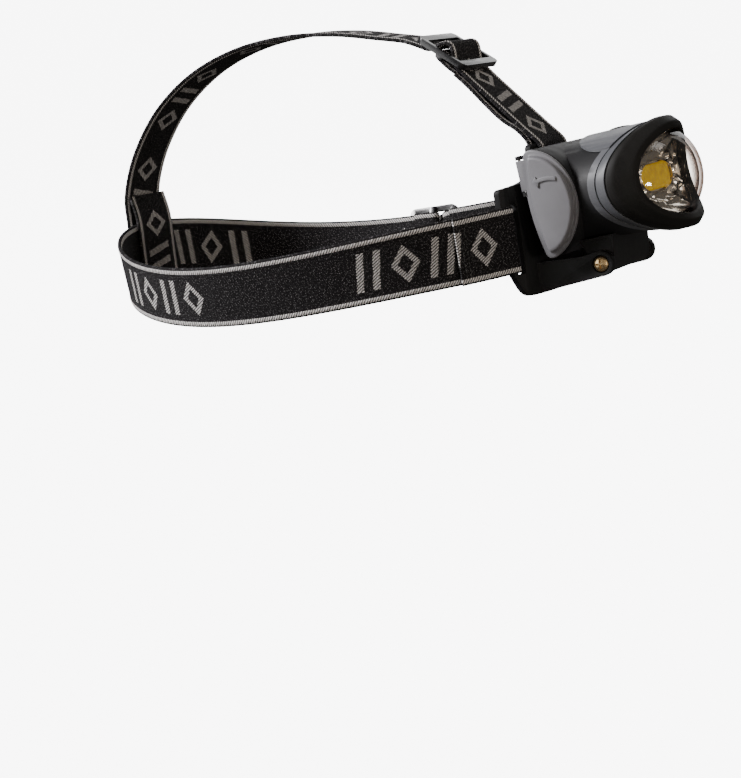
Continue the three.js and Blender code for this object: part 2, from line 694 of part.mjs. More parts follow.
function plateOutline() {
  const shape = new THREE.Shape();
  const corner = 9;
  const narrowing = 3.2;
  const [half, low, high] = [PLATE_HALF, PLATE_BOTTOM, PLATE_TOP];
  const tabTop = CROWN_BAR_W + 2;
  shape.moveTo(-half + corner, low);
  shape.lineTo(half - corner, low);
  shape.quadraticCurveTo(half - narrowing - 2, low, half - narrowing, low + 5);
  shape.lineTo(half, low + corner + 6);
  shape.lineTo(half, high - 1.5);
  shape.quadraticCurveTo(half, high, half - 1.5, high);
  shape.lineTo(TAB_HALF + 6, high + 1.5);
  shape.quadraticCurveTo(TAB_HALF, high + 2, TAB_HALF, high + 6);
  shape.lineTo(TAB_HALF, tabTop - 2);
  shape.quadraticCurveTo(TAB_HALF, tabTop, TAB_HALF - 2, tabTop);
  shape.lineTo(-TAB_HALF + 2, tabTop);
  shape.quadraticCurveTo(-TAB_HALF, tabTop, -TAB_HALF, tabTop - 2);
  shape.lineTo(-TAB_HALF, high + 6);
  shape.quadraticCurveTo(-TAB_HALF, high + 2, -TAB_HALF - 6, high + 1.5);
  shape.lineTo(-half + 1.5, high);
  shape.quadraticCurveTo(-half, high, -half, high - 1.5);
  shape.lineTo(-half, low + corner + 6);
  shape.lineTo(-half + narrowing, low + 5);
  shape.quadraticCurveTo(-half + narrowing + 2, low, -half + corner, low);
  return shape;
}

/** Cutters for the two headband slots and the crown strap slot. */
function plateSlots() {
  const outer = PLATE_HALF - WING_BAR;
  const inner = outer - SIDE_SLOT;
  const crownTop = CROWN_BAR_W - CROWN_BAR_HALF;
  return [
    box([-30, inner, -SLOT_HALF], [20, outer, SLOT_HALF]),
    box([-30, -outer, -SLOT_HALF], [20, -inner, SLOT_HALF]),
    box([-30, -SLOT_HALF, crownTop - CROWN_SLOT], [20, SLOT_HALF, crownTop]),
  ];
}

/** Curved sheet of the plate, between two offsets from its middle surface. */
function curvedSheet(back, front, halfWidth, low, high) {
  const steps = 22;
  const shape = new THREE.Shape();
  for (let i = 0; i <= steps; i += 1) {
    const y = -halfWidth + (2 * halfWidth * i) / steps;
    shape[i ? 'lineTo' : 'moveTo'](plateSurface(y) + back, y);
  }
  for (let i = steps; i >= 0; i -= 1) {
    const y = -halfWidth + (2 * halfWidth * i) / steps;
    shape.lineTo(plateSurface(y) + front, y);
  }
  shape.closePath();
  return slab(shape, 'uy', low, high);
}

function foreheadBracket() {
  const sheet = curvedSheet(-PLATE_THICK / 2, PLATE_THICK / 2, PLATE_HALF + 1, -30, 40);
  const plate = common(sheet, slab(plateOutline(), 'yw', -30, 20, 6));
  const arm = new THREE.Shape();
  const [hu, hw] = [hingeInPlate.x, hingeInPlate.z];
  arm.moveTo(-3.2, PLATE_BOTTOM + 0.4);
  arm.lineTo(hu, hw - EAR_RADIUS);
  arm.absarc(hu, hw, EAR_RADIUS, -Math.PI / 2, Math.PI / 2);
  arm.lineTo(hu - 7, hw + EAR_RADIUS - 1.2);
  arm.lineTo(-3.2, -10.5);
  const arms = [slab(arm, 'uw', -EAR_OUTER, -EAR_INNER), slab(arm, 'uw', EAR_INNER, EAR_OUTER)];
  const roots = [-1, 1].map((side) => {
    const [from, to] = side < 0 ? [-EAR_OUTER, -EAR_INNER] : [EAR_INNER, EAR_OUTER];
    return box([plateSurface(EAR_OUTER), from, PLATE_BOTTOM + 0.4], [-3, to, -10.5]);
  });
  const bore = rod('y', hu, hw, SCREW_RADIUS + 0.05, -30, 30);
  const headRecess = rod('y', hu, hw, SCREW_HEAD_RADIUS + GAP, -30, -EAR_OUTER + 1.3);
  const nutRecess = rod('y', hu, hw, 3.2 + GAP, EAR_OUTER - 2, 30, 6);
  return cut(join(plate, ...arms, ...roots), bore, headRecess, nutRecess, ...plateSlots());
}

function hingeScrew() {
  const [hu, hw] = [hingeInPlate.x, hingeInPlate.z];
  const seat = -EAR_OUTER + 1;
  const tip = EAR_OUTER - 0.2;
  const head = turned([[0, seat - SCREW_HEAD_HEIGHT], [1.8, seat - SCREW_HEAD_HEIGHT],
    [SCREW_HEAD_RADIUS, seat - 0.9], [SCREW_HEAD_RADIUS, seat], [SCREW_RADIUS, seat],
    [SCREW_RADIUS, tip], [0, tip]], 'y', hu, hw);
  const crossA = box([hu - 1.7, seat - 3, hw - 0.35], [hu + 1.7, seat - 0.9, hw + 0.35]);
  const crossB = box([hu - 0.35, seat - 3, hw - 1.7], [hu + 0.35, seat - 0.9, hw + 1.7]);
  return cut(head, crossA, crossB);
}

function addBracket() {
  const [hu, hw] = [hingeInPlate.x, hingeInPlate.z];
  addPart(bracket, 'forehead_bracket', foreheadBracket(), 'black');
  const padFace = -PLATE_THICK / 2 - 0.3;
  const pad = common(curvedSheet(padFace - 4, padFace, 26, -30, 40),
    slab(roundedRectangle(-25.5, -17.5, 25.5, 19, 4), 'yw', -30, 20, 4));
  addPart(bracket, 'forehead_pad', pad, 'foam');
  addPart(bracket, 'hinge_screw', hingeScrew(), 'brass');
  const nut = cut(rod('y', hu, hw, 3.1, EAR_OUTER - 1.7, EAR_OUTER + 0.5, 6),
    rod('y', hu, hw, SCREW_RADIUS + 0.05, EAR_OUTER - 2, EAR_OUTER + 1));
  addPart(bracket, 'hinge_nut', nut, 'steel');
  [-1, 1].forEach((side, i) => {
    const near = side * (EAR_INNER - 0.15);
    const far = side * (EAR_INNER - 0.15 - WASHER);
    addPart(bracket, `hinge_washer_${i + 1}`, washer('y', hu, hw, SCREW_RADIUS + 0.05, 4.4,
      Math.min(near, far), Math.max(near, far)), 'rubber');
  });
}

// -------------------------------------------------------------------- headband

/** Local frame of the headband adjuster: s forward, width up, height outward. */
function adjusterMatrix() {
  const { point, across, face } = bandStation(ADJUSTER_T, 0.9);
  const forward = new THREE.Vector3().crossVectors(across, face);
  return new THREE.Matrix4().makeBasis(forward, across, face).setPosition(point);
}

/** Webbing through the adjuster and on to the far wing, doubled back inside. */
function adjustedSection() {
  const outer = 0.9;
  const stations = [];
  const overDeg = 17;
  const steps = 34;
  const adjusterDeg = THREE.MathUtils.radToDeg(ADJUSTER_T);
  for (let i = 0; i <= steps; i += 1) {
    const deg = adjusterDeg - overDeg / 2 + (overDeg * i) / steps;
    const t = THREE.MathUtils.degToRad(deg);
    const s = (t - ADJUSTER_T) * BAND_A;
    stations.push(bandStation(t, outer + bump(s)));
  }
  stations.push(...bandRun(adjusterDeg + 12, 326, 12, outer));
  stations.push(wingStation(WING_Y + 1.2, LOOP_OFFSET));
  stations.push(...wingTurn(1).reverse());
  stations.push(flippedPoint(wingStation(WING_Y + 1.2, -LOOP_OFFSET)));
  stations.push(...flipped(bandRun(326, adjusterDeg + 6.2, 12,
    (f) => outer - LAYER_PITCH - 0.6 * f)));
  return ribbon(stations);
}

function flippedPoint(station) {
  return flipped([station])[0];
}

function addHeadband() {
  const adjusterDeg = THREE.MathUtils.radToDeg(ADJUSTER_T);
  const stations = [
    ...bandRun(41, 33, 4, (f) => LAYER_PITCH + 0.15 * f),
    wingStation(-WING_Y - 1.2, LOOP_OFFSET),
    ...wingTurn(-1).reverse(),
    flippedPoint(wingStation(-WING_Y - 1.2, -LOOP_OFFSET)),
    ...flipped(bandRun(33, 150, 44, 0)),
    ...flipped(bandRun(153, adjusterDeg - 12, 34,
      (f) => 0.9 * Math.max(0, Math.min(1, (f - 0.4) * 2.5)))),
    ...flipped(bandRun(adjusterDeg - 11, adjusterDeg - 8.7, 2, 0.9)),
  ];
  addPart(group, 'headband', ribbon(stations), 'webbing');
  addPart(group, 'headband_left', adjustedSection(), 'webbing');
  const place = adjusterMatrix();
  addPart(group, 'headband_adjuster', glideGeometry().applyMatrix4(place), 'black');
  addPart(group, 'headband_end', endLoop().applyMatrix4(place), 'webbing');
}

// ----------------------------------------------------------------- crown strap

function crownArc(angle, radius) {
  return new THREE.Vector3(ARC_CENTRE.x + radius * Math.cos(angle), 0,
    ARC_CENTRE.y + radius * Math.sin(angle));
}

/** Outer layer from behind the slider, over its bar, round the bracket and back. */
function crownFrontCurve() {
  const points = [];
  const startS = -12;
  const endS = 14.6;
  const steps = 30;
  for (let i = 0; i <= steps; i += 1) {
    const s = startS + ((endS - startS) * i) / steps;
    points.push(crownArc(SLIDER_ANGLE - s / ARC_RADIUS, ARC_RADIUS + bump(s)));
  }
  const sweep = (plateSurface(0) - plateSurface(WEB_WIDTH / 2)) / 2;
  const turn = LOOP_OFFSET + sweep;
  const bar = new THREE.Vector3(plateSurface(0) - sweep, 0, CROWN_BAR_W - CROWN_BAR_HALF)
    .applyMatrix4(plateMatrix);
  const face = new THREE.Vector3(1, 0, 0).transformDirection(plateMatrix);
  const down = new THREE.Vector3(0, 0, -1).transformDirection(plateMatrix);
  const onFace = bar.clone().addScaledVector(face, turn);
  const last = points[points.length - 1];
  for (const f of [0.25, 0.5, 0.75, 1]) {
    points.push(last.clone().lerp(onFace.clone().addScaledVector(down, -3.4), f));
  }
  for (let i = 0; i <= 8; i += 1) {
    const angle = Math.PI * (i / 8);
    points.push(bar.clone().addScaledVector(face, turn * Math.cos(angle))
      .addScaledVector(down, LOOP_OFFSET * Math.sin(angle)));
  }
  points.push(bar.clone().addScaledVector(face, -turn).addScaledVector(down, -4.6));
  points.push(...[[79.4, 59.2], [73.2, 62.6], [66, 68.4], [58.9, 74.7]]
    .map(([x, z]) => new THREE.Vector3(x, 0, z)));
  points.push(crownArc(SLIDER_ANGLE - 8 / ARC_RADIUS, ARC_RADIUS - 2.35));
  return new THREE.CatmullRomCurve3(points, false, 'centripetal');
}

/** Single layer over the crown, looped round the headband at the back. */
function crownRearCurve() {
  const points = [-18.5, -15.4, -12.3].map((s) => crownArc(SLIDER_ANGLE - s / ARC_RADIUS,
    ARC_RADIUS)).reverse();
  points.push(...[[20, 91.8], [0, 92.8], [-22, 91.2], [-45, 85.6], [-66, 75.2], [-83, 60],
    [-94.5, 41.5], [-99.6, 24]].map(([x, z]) => new THREE.Vector3(x, 0, z)));
  const { point, across, face } = bandStation(Math.PI);
  const onBand = (height, offset) => {
    const place = point.clone().addScaledVector(across, height).addScaledVector(face, offset);
    return new THREE.Vector3(place.x, 0, place.z);
  };
  const below = -WEB_WIDTH / 2 - 0.2;
  points.push(onBand(12.6, LAYER_PITCH), onBand(0, LAYER_PITCH), onBand(below, LAYER_PITCH));
  const [middle, turn] = [(LAYER_PITCH - INNER_PITCH) / 2, (LAYER_PITCH + INNER_PITCH) / 2];
  for (const angle of [45, 90, 135]) {
    const a = THREE.MathUtils.degToRad(angle);
    points.push(onBand(below - turn * Math.sin(a), middle + turn * Math.cos(a)));
  }
  points.push(onBand(below, -INNER_PITCH), onBand(0, -INNER_PITCH), onBand(14, -INNER_PITCH),
    onBand(24, -1));
  return new THREE.CatmullRomCurve3(points, false, 'centripetal');
}

function addCrownStrap() {
  addPart(group, 'crown_strap_rear', ribbonAlong(crownRearCurve(), 84), 'webbing');
  addPart(group, 'crown_strap_front', ribbonAlong(crownFrontCurve(), 90), 'webbing');
  const origin = crownArc(SLIDER_ANGLE, ARC_RADIUS);
  const height = new THREE.Vector3(Math.cos(SLIDER_ANGLE), 0, Math.sin(SLIDER_ANGLE));
  const width = new THREE.Vector3(0, 1, 0);
  const forward = new THREE.Vector3().crossVectors(width, height);
  const place = new THREE.Matrix4().makeBasis(forward, width, height).setPosition(origin);
  addPart(group, 'crown_slider', glideGeometry().applyMatrix4(place), 'black');
  addPart(group, 'crown_strap_end', endLoop().applyMatrix4(place), 'webbing');
}

addLampBody();
addElectrics();
addLeads();
addBatteryCap();
addBracket();
addHeadband();
addCrownStrap();

export default group;
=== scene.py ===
"""LED headlamp with woven elastic straps: meshes, materials, light and camera.

Shapes are worked out in millimetres and stored in metres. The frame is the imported
model's: +X the way the wearer faces, +Y the wearer's left, +Z up. The lamp frame is
u forward, y left, w up about the middle of the forehead, pitched up; the plate frame
is the same with a smaller pitch.
"""

import math

import bmesh
import bpy
from mathutils import Matrix, Vector


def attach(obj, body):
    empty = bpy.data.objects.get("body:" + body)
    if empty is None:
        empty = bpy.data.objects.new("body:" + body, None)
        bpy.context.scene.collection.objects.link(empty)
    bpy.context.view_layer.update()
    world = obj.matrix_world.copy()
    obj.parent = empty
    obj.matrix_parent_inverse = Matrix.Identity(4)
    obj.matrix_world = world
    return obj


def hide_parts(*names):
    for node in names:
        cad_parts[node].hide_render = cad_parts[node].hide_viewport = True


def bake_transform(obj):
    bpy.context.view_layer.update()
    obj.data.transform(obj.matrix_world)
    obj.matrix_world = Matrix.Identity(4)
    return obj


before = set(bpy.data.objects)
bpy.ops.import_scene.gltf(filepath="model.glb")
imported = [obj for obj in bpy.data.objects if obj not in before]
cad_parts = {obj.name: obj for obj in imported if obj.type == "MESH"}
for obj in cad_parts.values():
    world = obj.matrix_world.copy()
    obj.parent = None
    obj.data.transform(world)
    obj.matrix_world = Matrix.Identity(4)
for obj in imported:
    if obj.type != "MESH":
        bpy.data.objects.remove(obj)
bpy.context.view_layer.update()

MM = 0.001

# Bodies
ROOT, LAMP_BODY, CAP_BODY, BUTTON_BODY = "bracket_and_straps", "lamp", "cap", "button"
SLIDER_BODY, ADJUSTER_BODY = "slider", "adjuster"

# ---------------------------------------------------------------- dimensions, in mm

FOREHEAD = Vector((95, 0, 21.8))
LAMP_PITCH = math.radians(15)
PLATE_PITCH = math.radians(10)

BAND_A, BAND_B = 95.2, 76.8
BAND_RISE, BAND_SAG, BAND_TWIST = 0.199, 0.00115, -0.0000088
LEAN_SIDE, LEAN_COS, LEAN_COS2 = 17.9, -11.4, -21.5
WEB_WIDTH, WEB_THICK = 25, 1.3
LAYER_PITCH, INNER_PITCH = 1.75, 3.1
GAP = 0.35

PLATE_THICK, PLATE_SET_BACK, PLATE_WRAP = 2.2, 2.6, 6.9
WING_Y, WING_BAR = 33.6, 3
PLATE_HALF = WING_Y + WING_BAR / 2
PLATE_TOP, PLATE_BOTTOM = 19.3, -22
SLOT_HALF, SIDE_SLOT = 13.3, 3.6
CROWN_BAR_W, CROWN_BAR_HALF, CROWN_SLOT, TAB_HALF = 31.5, 1.8, 5, 17
LOOP_OFFSET = PLATE_THICK / 2 + GAP + WEB_THICK / 2

HINGE_U, HINGE_W = 20.5, -15.2
EAR_RADIUS, LUG_RADIUS, EAR_INNER, EAR_OUTER = 4.7, 4, 19, 22.4
SCREW_RADIUS, SCREW_HEAD_RADIUS, SCREW_HEAD_HEIGHT, SCREW_FIT = 1.5, 3, 1.8, 0.05

AXIS_W = 11.6
CASE_NEAR, CASE_FAR, CASE_WALL = -28.6, 29, 1.6
BARREL_A, BARREL_B = 29.4, 19.5
FRONT_WRAP, SEAM_U, BEZEL_CHIN = 14, 42.3, 2
COLLAR_BORE = (28.4, 18.1)           # half width and half height inside the collars
BEZEL_BACK, BEZEL_WRAP = 47.3, 14.6
RIM_A, RIM_B, RIM_U, RIM_WRAP = 24.8, 15.2, 50.8, 7.8
OVAL_POWER = 2.2
BUTTON_U, BUTTON_RADIUS = 30.5, 4.6
CAP_HINGE_U, CAP_HINGE_Y = 0.7, -29.2
KNUCKLE_RADIUS, KNUCKLE_LOW, KNUCKLE_HIGH, EAR_KNOB, PIN_RADIUS = 1.5, 17.2, 28.6, 1.4, 0.7

ARC_CENTRE = Vector((20, 0, 32))
ARC_RADIUS = 60
SLIDER_ANGLE = math.radians(62.6)
ADJUSTER_T = math.radians(270)
ADJUSTER_OFFSET = 0.9

GLIDE_HALF_LENGTH, GLIDE_HALF_WIDTH = 11.4, 15.6
GLIDE_LOW, GLIDE_HIGH, END_BAR_INNER = 1.05, 3.25, 7.9
CENTRE_BAR_HALF, CENTRE_BAR_LOW, CENTRE_BAR_HIGH = 1.5, -0.2, 1.2
BUMP_HEIGHT, BUMP_HALF = 6.2, 7.4
HUMP_REACH = 10.2                    # half length of webbing that travels with a glide
HUMP_OVERLAP, HUMP_STEPS = 0.4, 32

LAMP = Matrix.Translation(FOREHEAD) @ Matrix.Rotation(-LAMP_PITCH, 4, "Y")
PLATE = Matrix.Translation(FOREHEAD) @ Matrix.Rotation(-PLATE_PITCH, 4, "Y")
HINGE_IN_PLATE = PLATE.inverted() @ (LAMP @ Vector((HINGE_U, 0, HINGE_W)))

# ------------------------------------------------------------------- mesh helpers


def linked(name, data):
    """Object made from data and put in the scene."""
    obj = bpy.data.objects.new(name, data)
    bpy.context.scene.collection.objects.link(obj)
    return obj


def from_axes(x, y, z, origin):
    """Placement with the given axis directions and origin."""
    rows = [(*row, place) for row, place in zip(zip(x, y, z), origin)]
    return Matrix((*rows, (0, 0, 0, 1)))


def build(name, points, faces, marks=None):
    """Object from points and faces, its faces turned to point out.

    marks holds a number for each point under each label; marked points stay unmerged."""
    mesh = bpy.data.meshes.new(name)
    mesh.from_pydata([tuple(p) for p in points], [], faces)
    for label, values in (marks or {}).items():
        mesh.attributes.new(label, "FLOAT", "POINT").data.foreach_set("value", values)
    work = bmesh.new()
    work.from_mesh(mesh)
    if not marks:
        bmesh.ops.remove_doubles(work, verts=work.verts, dist=1e-5)
    bmesh.ops.recalc_face_normals(work, faces=work.faces)
    work.to_mesh(mesh)
    work.free()
    return linked(name, mesh)


def sides(count, rings, closed=False):
    """Faces between rings of count points each."""
    faces = []
    for i in range(rings if closed else rings - 1):
        here, there = i * count, (i + 1) % rings * count
        for j in range(count):
            k = (j + 1) % count
            faces.append((here + j, here + k, there + k, there + j))
    return faces


def tube(count, rings):
    """Faces between rings of count points each and over both ends."""
    last = (rings - 1) * count
    return sides(count, rings) + [tuple(reversed(range(count))), tuple(range(last, last + count))]


def loft(name, rings, closed=False):
    """Skin over rings of equal point counts: a tube with end caps, or a closed ring."""
    count = len(rings[0])
    faces = sides(count, len(rings), True) if closed else tube(count, len(rings))
    return build(name, [p for ring in rings for p in ring], faces)


def placed_along(axis, points, place):
    """Points of a plane, put at a place along the axis square to it."""
    k = "uyw".index(axis)
    return [(*point[:k], place, *point[k:]) for point in points]


def slab(name, outline, axes, low, high):
    """Flat outline drawn in two axes, pushed along the third."""
    third = {"uy": "w", "uw": "y", "yw": "u"}[axes]
    return loft(name, [placed_along(third, outline, place) for place in (low, high)])


def block(name, low, high):
    outline = [(low[0], low[1]), (high[0], low[1]), (high[0], high[1]), (low[0], high[1])]
    return slab(name, outline, "uy", low[2], high[2])


def arc(x, y, radius, start, end, steps):
    """Points on an arc about (x, y), from start to end in degrees."""
    angles = [math.radians(start + (end - start) * i / steps) for i in range(steps + 1)]
    return [(x + radius * math.cos(a), y + radius * math.sin(a)) for a in angles]


def circle(x, y, radius, segments):
    return arc(x, y, radius, 0, 360, segments)[:-1]


def turned(name, profile, axis, a, b, segments=48):
    """Solid of revolution about a line through (a, b): profile rows are radius, place."""
    return loft(name, [placed_along(axis, circle(a, b, radius, segments), place)
                       for radius, place in profile])


def rod(name, axis, a, b, radius, low, high, segments=48):
    return turned(name, [(radius, low), (radius, high)], axis, a, b, segments)


def rounded_rectangle(left, bottom, right, top, radius, steps=8):
    corners = [(right - radius, bottom + radius, -90), (right - radius, top - radius, 0),
               (left + radius, top - radius, 90), (left + radius, bottom + radius, 180)]
    return [point for x, y, start in corners
            for point in arc(x, y, radius, start, start + 90, steps)]


def applied(obj):
    """obj with its modifiers made part of its mesh."""
    graph = bpy.context.evaluated_depsgraph_get()
    mesh = bpy.data.meshes.new_from_object(obj.evaluated_get(graph))
    obj.modifiers.clear()
    obj.data = mesh
    return obj


def combine(obj, others, operation):
    """UNION, DIFFERENCE or INTERSECT of obj with each of the others, which are used up."""
    for other in others:
        modifier = obj.modifiers.new("join", "BOOLEAN")
        modifier.operation = operation
        modifier.solver = "EXACT"
        modifier.object = other
        applied(obj)
        bpy.data.objects.remove(other)
    return obj


def bevelled(obj, width, segments=3, angle=38):
    modifier = obj.modifiers.new("edges", "BEVEL")
    modifier.width = width
    modifier.segments = segments
    modifier.limit_method = "ANGLE"
    modifier.angle_limit = math.radians(angle)
    modifier.use_clamp_overlap = True
    return applied(obj)


def shaded(obj, angle=40):
    """Smooth shading with edges sharper than the angle kept."""
    for polygon in obj.data.polygons:
        polygon.use_smooth = True
    obj.data.set_sharp_from_angle(angle=math.radians(angle))


def piece(obj, body, material, slot, *nodes, place=None, angle=40):
    """Finished piece: put in place in metres, shaded, painted and carried by its body."""
    if place is not None:
        obj.data.transform(place)
    obj.data.transform(Matrix.Scale(MM, 4))
    shaded(obj, angle)
    obj.data.materials.clear()
    obj.data.materials.append(material)
    if body:
        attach(obj, body)
    if nodes:
        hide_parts(*nodes)
    return obj


def softened(rows, reach, steps=3):
    """Closed list of rows with each corner replaced by a short curve."""
    result = []
    for i, corner in enumerate(rows):
        before, after = rows[i - 1], rows[(i + 1) % len(rows)]
        to_before = min(0.45, reach / max(1e-6, math.dist(before, corner)))
        to_after = min(0.45, reach / max(1e-6, math.dist(after, corner)))
        for k in range(steps + 1):
            f = k / steps
            row = []
            for p, q, r in zip(before, corner, after):
                start = q + (p - q) * to_before
                end = q + (r - q) * to_after
                row.append(start * (1 - f) ** 2 + 2 * q * f * (1 - f) + end * f ** 2)
            result.append(tuple(row))
    return result


def bezier(points, steps):
    """Points along a Bezier curve, leaving out its end."""
    result = []
    for i in range(steps):
        f = i / steps
        level = [Vector(p) for p in points]
        while len(level) > 1:
            level = [p.lerp(q, f) for p, q in zip(level, level[1:])]
        result.append(tuple(level[0]))
    return result


# ------------------------------------------------------------------- lamp outlines

OVAL_STEPS = 144


def oval_point(t, a, b, u0, wrap, chin=0):
    cos, sin = math.cos(t), math.sin(t)
    across = math.copysign(abs(cos) ** (2 / OVAL_POWER), cos)
    upward = math.copysign(abs(sin) ** (2 / OVAL_POWER), sin)
    forward = u0 - wrap * across * across + chin * max(0, -upward)
    return (forward, a * across, AXIS_W + b * upward)


def oval(row, steps=OVAL_STEPS):
    return [oval_point(2 * math.pi * i / steps, *row) for i in range(steps)]


def oval_loft(name, rows, closed=False):
    return loft(name, [oval(row) for row in rows], closed)


def oval_ring(name, rows, reach):
    return oval_loft(name, softened(rows, reach), closed=True)


def stadium(half_length, half_height, steps=14):
    """Outline in y and w: a bar with round ends, about the beam axis."""
    reach = half_length - half_height
    return (arc(reach, AXIS_W, half_height, -90, 90, steps)
            + arc(-reach, AXIS_W, half_height, 90, 270, steps))


def case_section(inset, steps=14):
    """Leaf-shaped section of the battery case, drawn inset by a wall thickness."""
    tip = max(0.7, 2.6 - inset)
    pull = 1.8 * max(0, inset - 1.9)
    top_u, top_w = 5.4 + pull * 0.2, AXIS_W + 17.6 - pull
    low_u, low_w = 5.9 + pull * 0.2, AXIS_W - 18.3 + pull
    start = (low_u - tip * 0.9, low_w - tip * 0.25)
    shoulder = (top_u - tip * 0.95, top_w + tip * 0.2)
    crest = (top_u + tip * 0.4, top_w + tip * 0.95)
    front = (20.4 - inset, AXIS_W - 0.5)
    foot = (low_u + tip * 0.6, low_w - tip * 0.8)
    return (
        bezier([start, (-1.1 + inset, AXIS_W + 1), shoulder], steps * 2)
        + bezier([shoulder, (top_u - tip * 0.8, top_w + tip), crest], steps // 2)
        + bezier([crest, (16.6 - inset, top_w - 0.6), (20.4 - inset, AXIS_W + 7.5), front], steps)
        + bezier([front, (20.4 - inset, AXIS_W - 8), (15.2 - inset, low_w + 0.8), foot], steps)
        + bezier([foot, (low_u - tip * 0.5, low_w - tip * 1.15), start], steps // 2)
    )


def case_loft(name, rows):
    """Solid through leaf sections: rows are inset, y and an optional shift along u."""
    rings = []
    for inset, y, *shift in rows:
        rings.append([(u + sum(shift), y, w) for u, w in case_section(inset)])
    return loft(name, rings)


# ------------------------------------------------------------------ webbing helpers


def band_point(t):
    x = BAND_A * math.cos(t)
    z = BAND_RISE * x + BAND_SAG * x ** 2 + BAND_TWIST * x ** 3
    return Vector((x, -BAND_B * math.sin(t), z))


def band_station(t, offset=0.0):
    """Point, width direction and outward face of the headband at angle t."""
    step = 1e-3
    along = (band_point(t + step) - band_point(t - step)).normalized()
    up = Vector((0, 0, 1))
    up = (up - along * along.z).normalized()
    out = up.cross(along)
    cos = math.cos(t)
    lean = math.radians(LEAN_SIDE + LEAN_COS * cos + LEAN_COS2 * cos * cos)
    across = up * math.cos(lean) + out * math.sin(lean)
    face = out * math.cos(lean) - up * math.sin(lean)
    return band_point(t) + face * offset, across, face


def band_run(start_deg, end_deg, offset=0.0, spacing=0.7):
    count = max(2, round(abs(end_deg - start_deg) / spacing))
    stations = []
    for i in range(count + 1):
        f = i / count
        t = math.radians(start_deg + (end_deg - start_deg) * f)
        stations.append(band_station(t, offset(f) if callable(offset) else offset))
    return stations


def plate_surface(y):
    return -PLATE_SET_BACK - PLATE_WRAP * abs(y / WING_Y) ** 3


def wing_station(y, offset):
    slope = -3 * PLATE_WRAP * math.copysign(1, y) * y * y / WING_Y ** 3
    face = Vector((1, -slope, 0)).normalized()
    point = Vector((plate_surface(y), y, 0)) + face * offset
    turn = PLATE.to_3x3()
    return PLATE @ point, turn @ Vector((0, 0, 1)), turn @ face


def wing_turn(side, steps=14):
    """Half turn round a wing's outer bar, from the outer face to the inner."""
    point, across, face = wing_station(side * (PLATE_HALF - WING_BAR), 0)
    along = across.cross(face) * -side
    stations = []
    for i in range(steps + 1):
        angle = math.pi * (1 - i / steps)
        turned_face = -face * math.cos(angle) + along * math.sin(angle)
        stations.append((point + turned_face * LOOP_OFFSET, across, turned_face))
    return stations


def flipped(stations):
    return [(point, across, -face) for point, across, face in stations]


def bump(s):
    if abs(s) >= BUMP_HALF:
        return 0
    return BUMP_HEIGHT * math.cos(math.pi * s / (2 * BUMP_HALF)) ** 2


def catmull(points, steps=12):
    """Smooth curve through points, evenly walked between each two."""
    ends = [points[0] * 2 - points[1], *points, points[-1] * 2 - points[-2]]
    curve = []
    for a, b, c, d in zip(ends, ends[1:], ends[2:], ends[3:]):
        for i in range(steps):
            f = i / steps
            curve.append(0.5 * ((2 * b) + (c - a) * f + (2 * a - 5 * b + 4 * c - d) * f ** 2
                                + (3 * b - a - 3 * c + d) * f ** 3))
    curve.append(points[-1].copy())
    return curve


def curve_stations(points, width=Vector((0, 1, 0))):
    """Stations along a curve in a plane, its width square to the plane."""
    stations = []
    for i, point in enumerate(points):
        along = (points[min(i + 1, len(points) - 1)] - points[max(i - 1, 0)]).normalized()
        stations.append((point, width, along.cross(width)))
    return stations


def even(stations, spacing=0.9, rounds=4):
    """Stations walked at an even spacing, with any kinks eased out."""
    lengths = [0.0]
    for (p, _, _), (q, _, _) in zip(stations, stations[1:]):
        lengths.append(lengths[-1] + (q - p).length)
    count = max(4, round(lengths[-1] / spacing))
    walked = []
    at = 0
    for i in range(count + 1):
        goal = lengths[-1] * i / count
        while at < len(lengths) - 2 and lengths[at + 1] < goal:
            at += 1
        f = (goal - lengths[at]) / max(1e-9, lengths[at + 1] - lengths[at])
        walked.append([a.lerp(b, f) for a, b in zip(stations[at], stations[at + 1])])
    for _ in range(rounds):
        eased = [row[:] for row in walked]
        for i in range(1, len(walked) - 1):
            for k in range(3):
                middle = (walked[i - 1][k] + walked[i + 1][k]) / 2
                eased[i][k] = walked[i][k].lerp(middle, 0.5)
        walked = eased
    result = []
    for point, across, face in walked:
        across = across.normalized()
        face = (face - across * face.dot(across)).normalized()
        result.append((point, across, face))
    return result


STRIPE = 10.9                        # middle of each pale stripe from the webbing's middle
# Columns of the webbing's outer face: place across it, height above the plain face
WEB_COLUMNS = [(-12.5, -0.5), (-12.44, -0.22), (-12.25, -0.05), (-11.9, 0), (-11.72, 0.03),
               (-11.4, 0.15), (-10.9, 0.19), (-10.4, 0.15), (-10.08, 0.03), (-9.8, 0),
               (-7, 0.02), (-3.5, 0.03), (0, 0.03)]
WEB_COLUMNS += [(-place, height) for place, height in reversed(WEB_COLUMNS[:-1])]
RIPPLE_PITCH = 2.3                   # slight scallop along the edges, from the elastic cores
RIPPLE_HEIGHT = 0.05


